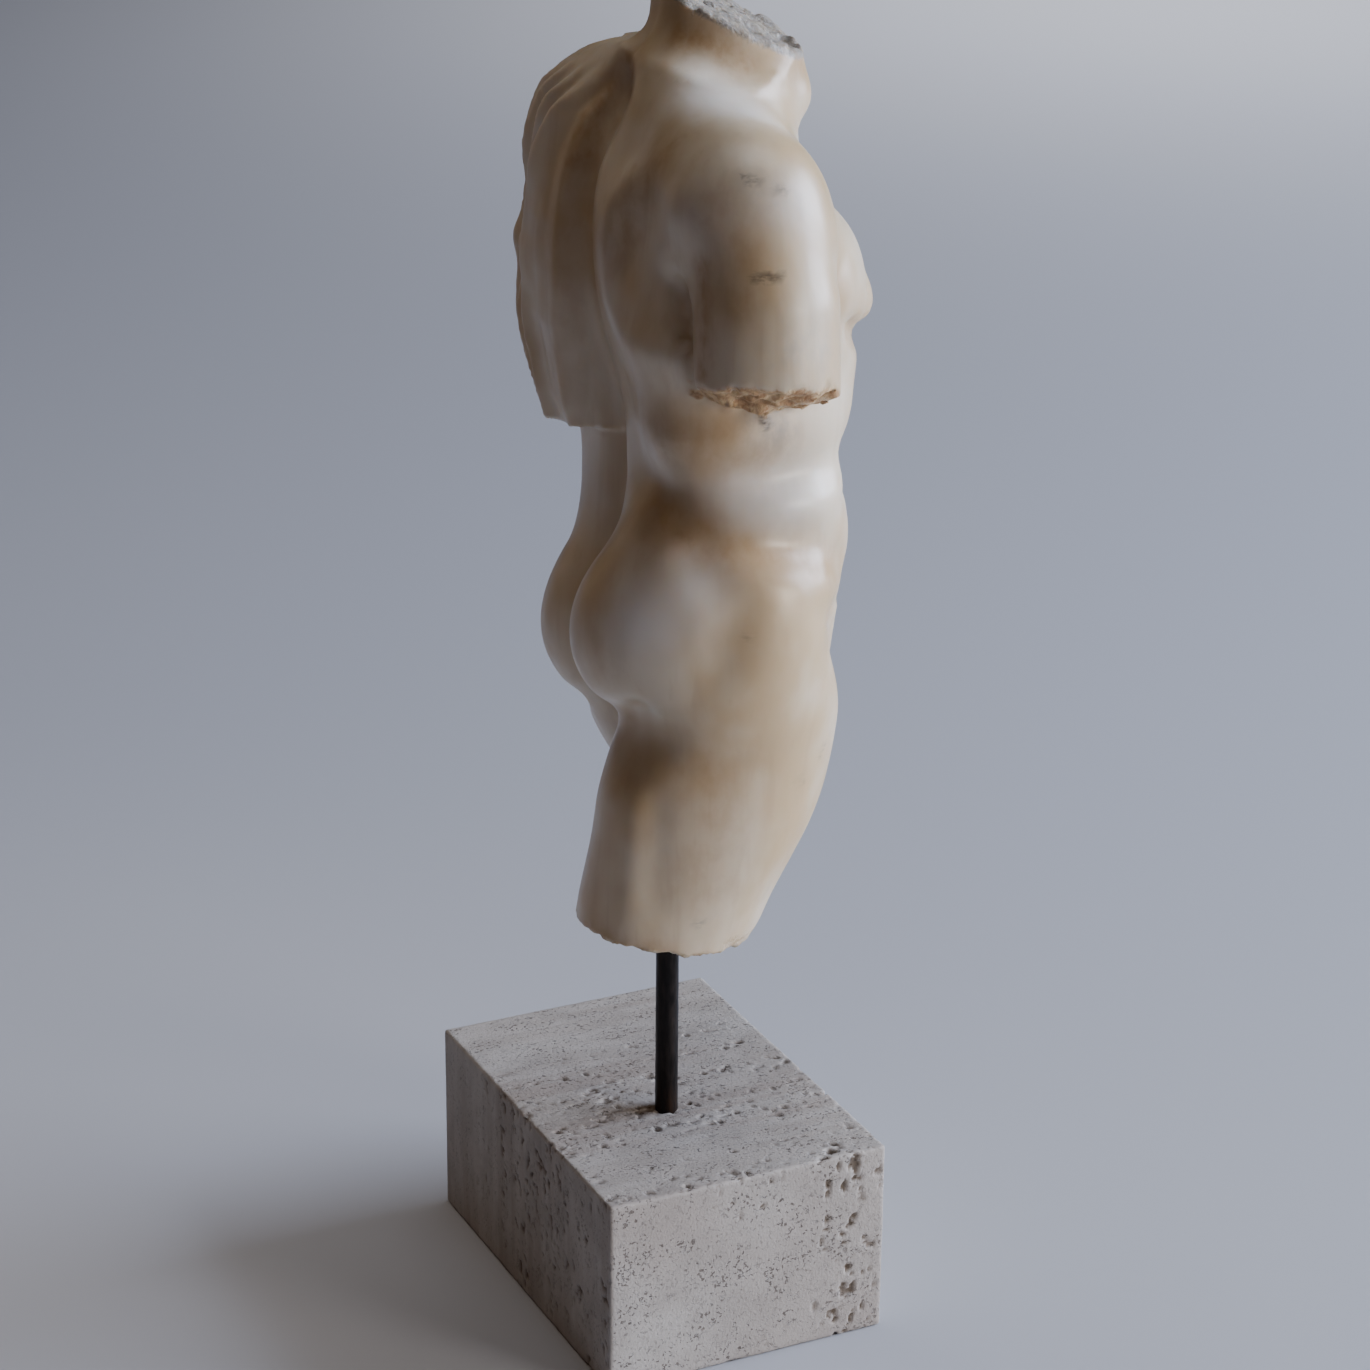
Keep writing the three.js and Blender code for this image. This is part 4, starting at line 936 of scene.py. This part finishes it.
def honed_travertine():
    # Travertine sawn across its beds and honed, its pits left open. Honing gives a dull, even surface
    # with hardly any gleam, and the beds show as faint bands from whitish grey to pinkish beige.
    m, shader = finish("honed_travertine", IOR=1.5)
    beds = cloud(m, in_mm(m, 9, 160, 160), 0.36, 0.64, 4.0)
    wide_beds = cloud(m, in_mm(m, 34, 200, 200), 0.40, 0.62, 2.0)
    patches = cloud(m, in_mm(m, 14, 26, 26), 0.38, 0.66, 4.0)
    colour = blended(m, beds, tint("#b5b0aa"), tint("#a69d95"))
    colour = blended(m, maths(m, "MULTIPLY", wide_beds, 0.5), colour, tint("#bfbbb5"))
    colour = blended(m, maths(m, "MULTIPLY", patches, 0.45), colour, tint("#979089"))
    # Pores of one to three millimetres, between the larger pits that are modelled
    where = cloud(m, in_mm(m, 7, 26, 20), 0.42, 0.60, 3.0)
    fine_pores = cloud(m, in_mm(m, 1.3, 2.0, 1.9), 0.60, 0.63, 2.0, 0.6)
    fine_pores = maths(m, "MULTIPLY", fine_pores, maths(m, "MAXIMUM", where, 0.2))
    pores = cloud(m, in_mm(m, 2.4, 3.8, 3.4), 0.625, 0.65, 4.0, 0.7)
    pores = maths(m, "MAXIMUM", fine_pores, maths(m, "MULTIPLY", pores, where))
    # The side at the back was sawn along the beds, so it has fewer
    at_back = add(m, "SeparateXYZ", (0, in_mm(m)), out="Y")
    from_y, to_y = BLOCK_HIGH[1] - 2, BLOCK_HIGH[1] - 0.5
    at_back = add(m, "MapRange", (0, at_back), (1, from_y), (2, to_y), (3, 1), (4, 0.4))
    pores = maths(m, "MULTIPLY", pores, at_back)
    # Beside a pore the stone is paler
    rim = cloud(m, in_mm(m, 2.4, 3.8, 3.4), 0.56, 0.62, 4.0, 0.7)
    rim = maths(m, "MULTIPLY", rim, where)
    colour = blended(m, maths(m, "MULTIPLY", rim, 0.3), colour, tint("#cbc7c0"))
    # The pores and the modelled pits are darkened with their depth: painted shade inside them
    pit = add(m, "MapRange", (0, kept(m, "pit")), (1, 0.15), (2, 1.3))
    colour = blended(m, maths(m, "MULTIPLY", pores, 0.75), colour, tint("#54493e"))
    colour = blended(m, maths(m, "MULTIPLY", pit, 0.75), colour, tint("#6b5e50"))
    m.node_tree.links.new(colour, shader.inputs["Base Color"])
    rough = add(m, "MapRange", (0, pit), (3, 0.62), (4, 0.95))
    m.node_tree.links.new(rough, shader.inputs["Roughness"])
    fine = cloud(m, in_mm(m, 0.9, 1.4, 1.4), 0.2, 0.8, 3.0)
    height = maths(m, "SUBTRACT", maths(m, "MULTIPLY", fine, 0.1), pores)
    bump = add(m, "Bump", ("Height", height), ("Strength", 1.0), ("Distance", 0.0014))
    m.node_tree.links.new(bump, shader.inputs["Normal"])
    return m


def blackened_steel():
    # Round mild steel bar, chemically blackened and waxed: near black with a dim, narrow gleam,
    # a little brown where the wax has worn thin near its foot.
    m, shader = finish("blackened_waxed_steel", Metallic=1.0)
    scale = cloud(m, in_mm(m, 3, 3, 14), 0.35, 0.70, 5.0)
    colour = blended(m, scale, tint("#262423"), tint("#36312f"))
    foot = add(m, "SeparateXYZ", (0, in_mm(m)), out="Z")
    foot = add(m, "MapRange", (0, foot), (1, BLOCK_HIGH[2] + 22), (2, BLOCK_HIGH[2]))
    colour = blended(m, maths(m, "MULTIPLY", foot, scale), colour, tint("#3a2b22"))
    m.node_tree.links.new(colour, shader.inputs["Base Color"])
    rough = add(m, "MapRange", (0, scale), (3, 0.34), (4, 0.52))
    m.node_tree.links.new(rough, shader.inputs["Roughness"])
    bump = add(m, "Bump", ("Height", scale), ("Strength", 0.4), ("Distance", 0.0002))
    m.node_tree.links.new(bump, shader.inputs["Normal"])
    return m


def stage_floor():
    mesh = bpy.data.meshes.new("floor")
    r = FLOOR_REACH
    mesh.from_pydata([(-r, -r, 0), (r, -r, 0), (r, r, 0), (-r, r, 0)], [], [(0, 1, 2, 3)])
    mesh.materials.append(finish("matt_plaster_floor", Base_Color=tint("#b5b7bc"), Roughness=0.9)[0])
    floor = bpy.data.objects.new("floor", mesh)
    bpy.context.scene.collection.objects.link(floor)


def camera():
    back, right = -Vector(CAMERA_LOOKS), Vector(CAMERA_RIGHT)
    back.normalize()
    right = (right - back * right.dot(back)).normalized()
    up = back.cross(right)
    data = bpy.data.cameras.new("camera")
    data.sensor_width = SENSOR_WIDTH
    data.lens = SENSOR_WIDTH * FOCAL_LENGTH / FRAME_WIDTH
    data.clip_end = CLIP_END
    eye = bpy.data.objects.new("camera", data)
    turn = Matrix((right, up, back)).transposed().to_4x4()
    eye.matrix_world = Matrix.Translation(Vector(CAMERA_AT)) @ turn
    bpy.context.scene.collection.objects.link(eye)
    bpy.context.scene.camera = eye


def area_light(name, place, aim, size, power, code, spread):
    data = bpy.data.lights.new(name, "AREA")
    data.size = size
    data.energy = power
    data.spread = math.radians(spread)
    data.color = tint(code)[:3]
    lamp = bpy.data.objects.new(name, data)
    lamp.location = place
    lamp.rotation_euler = (Vector(aim) - Vector(place)).to_track_quat("-Z", "Y").to_euler()
    bpy.context.scene.collection.objects.link(lamp)


torso = marble_torso(worn_marble())
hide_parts("marble_torso")
block = travertine_block(honed_travertine())
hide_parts("travertine_block")
rod = steel_rod(blackened_steel())
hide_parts("steel_rod")
for piece in (torso, block, rod):
    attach(piece, "root")
stage_floor()
camera()
for name, light in LIGHTS.items():
    area_light(name, *light)
world = bpy.data.worlds.new("room")
bpy.context.scene.world = world
world.use_nodes = True
glow = world.node_tree.nodes["Background"]
glow.inputs["Color"].default_value = tint(ROOM_COLOUR)
glow.inputs["Strength"].default_value = ROOM_GLOW
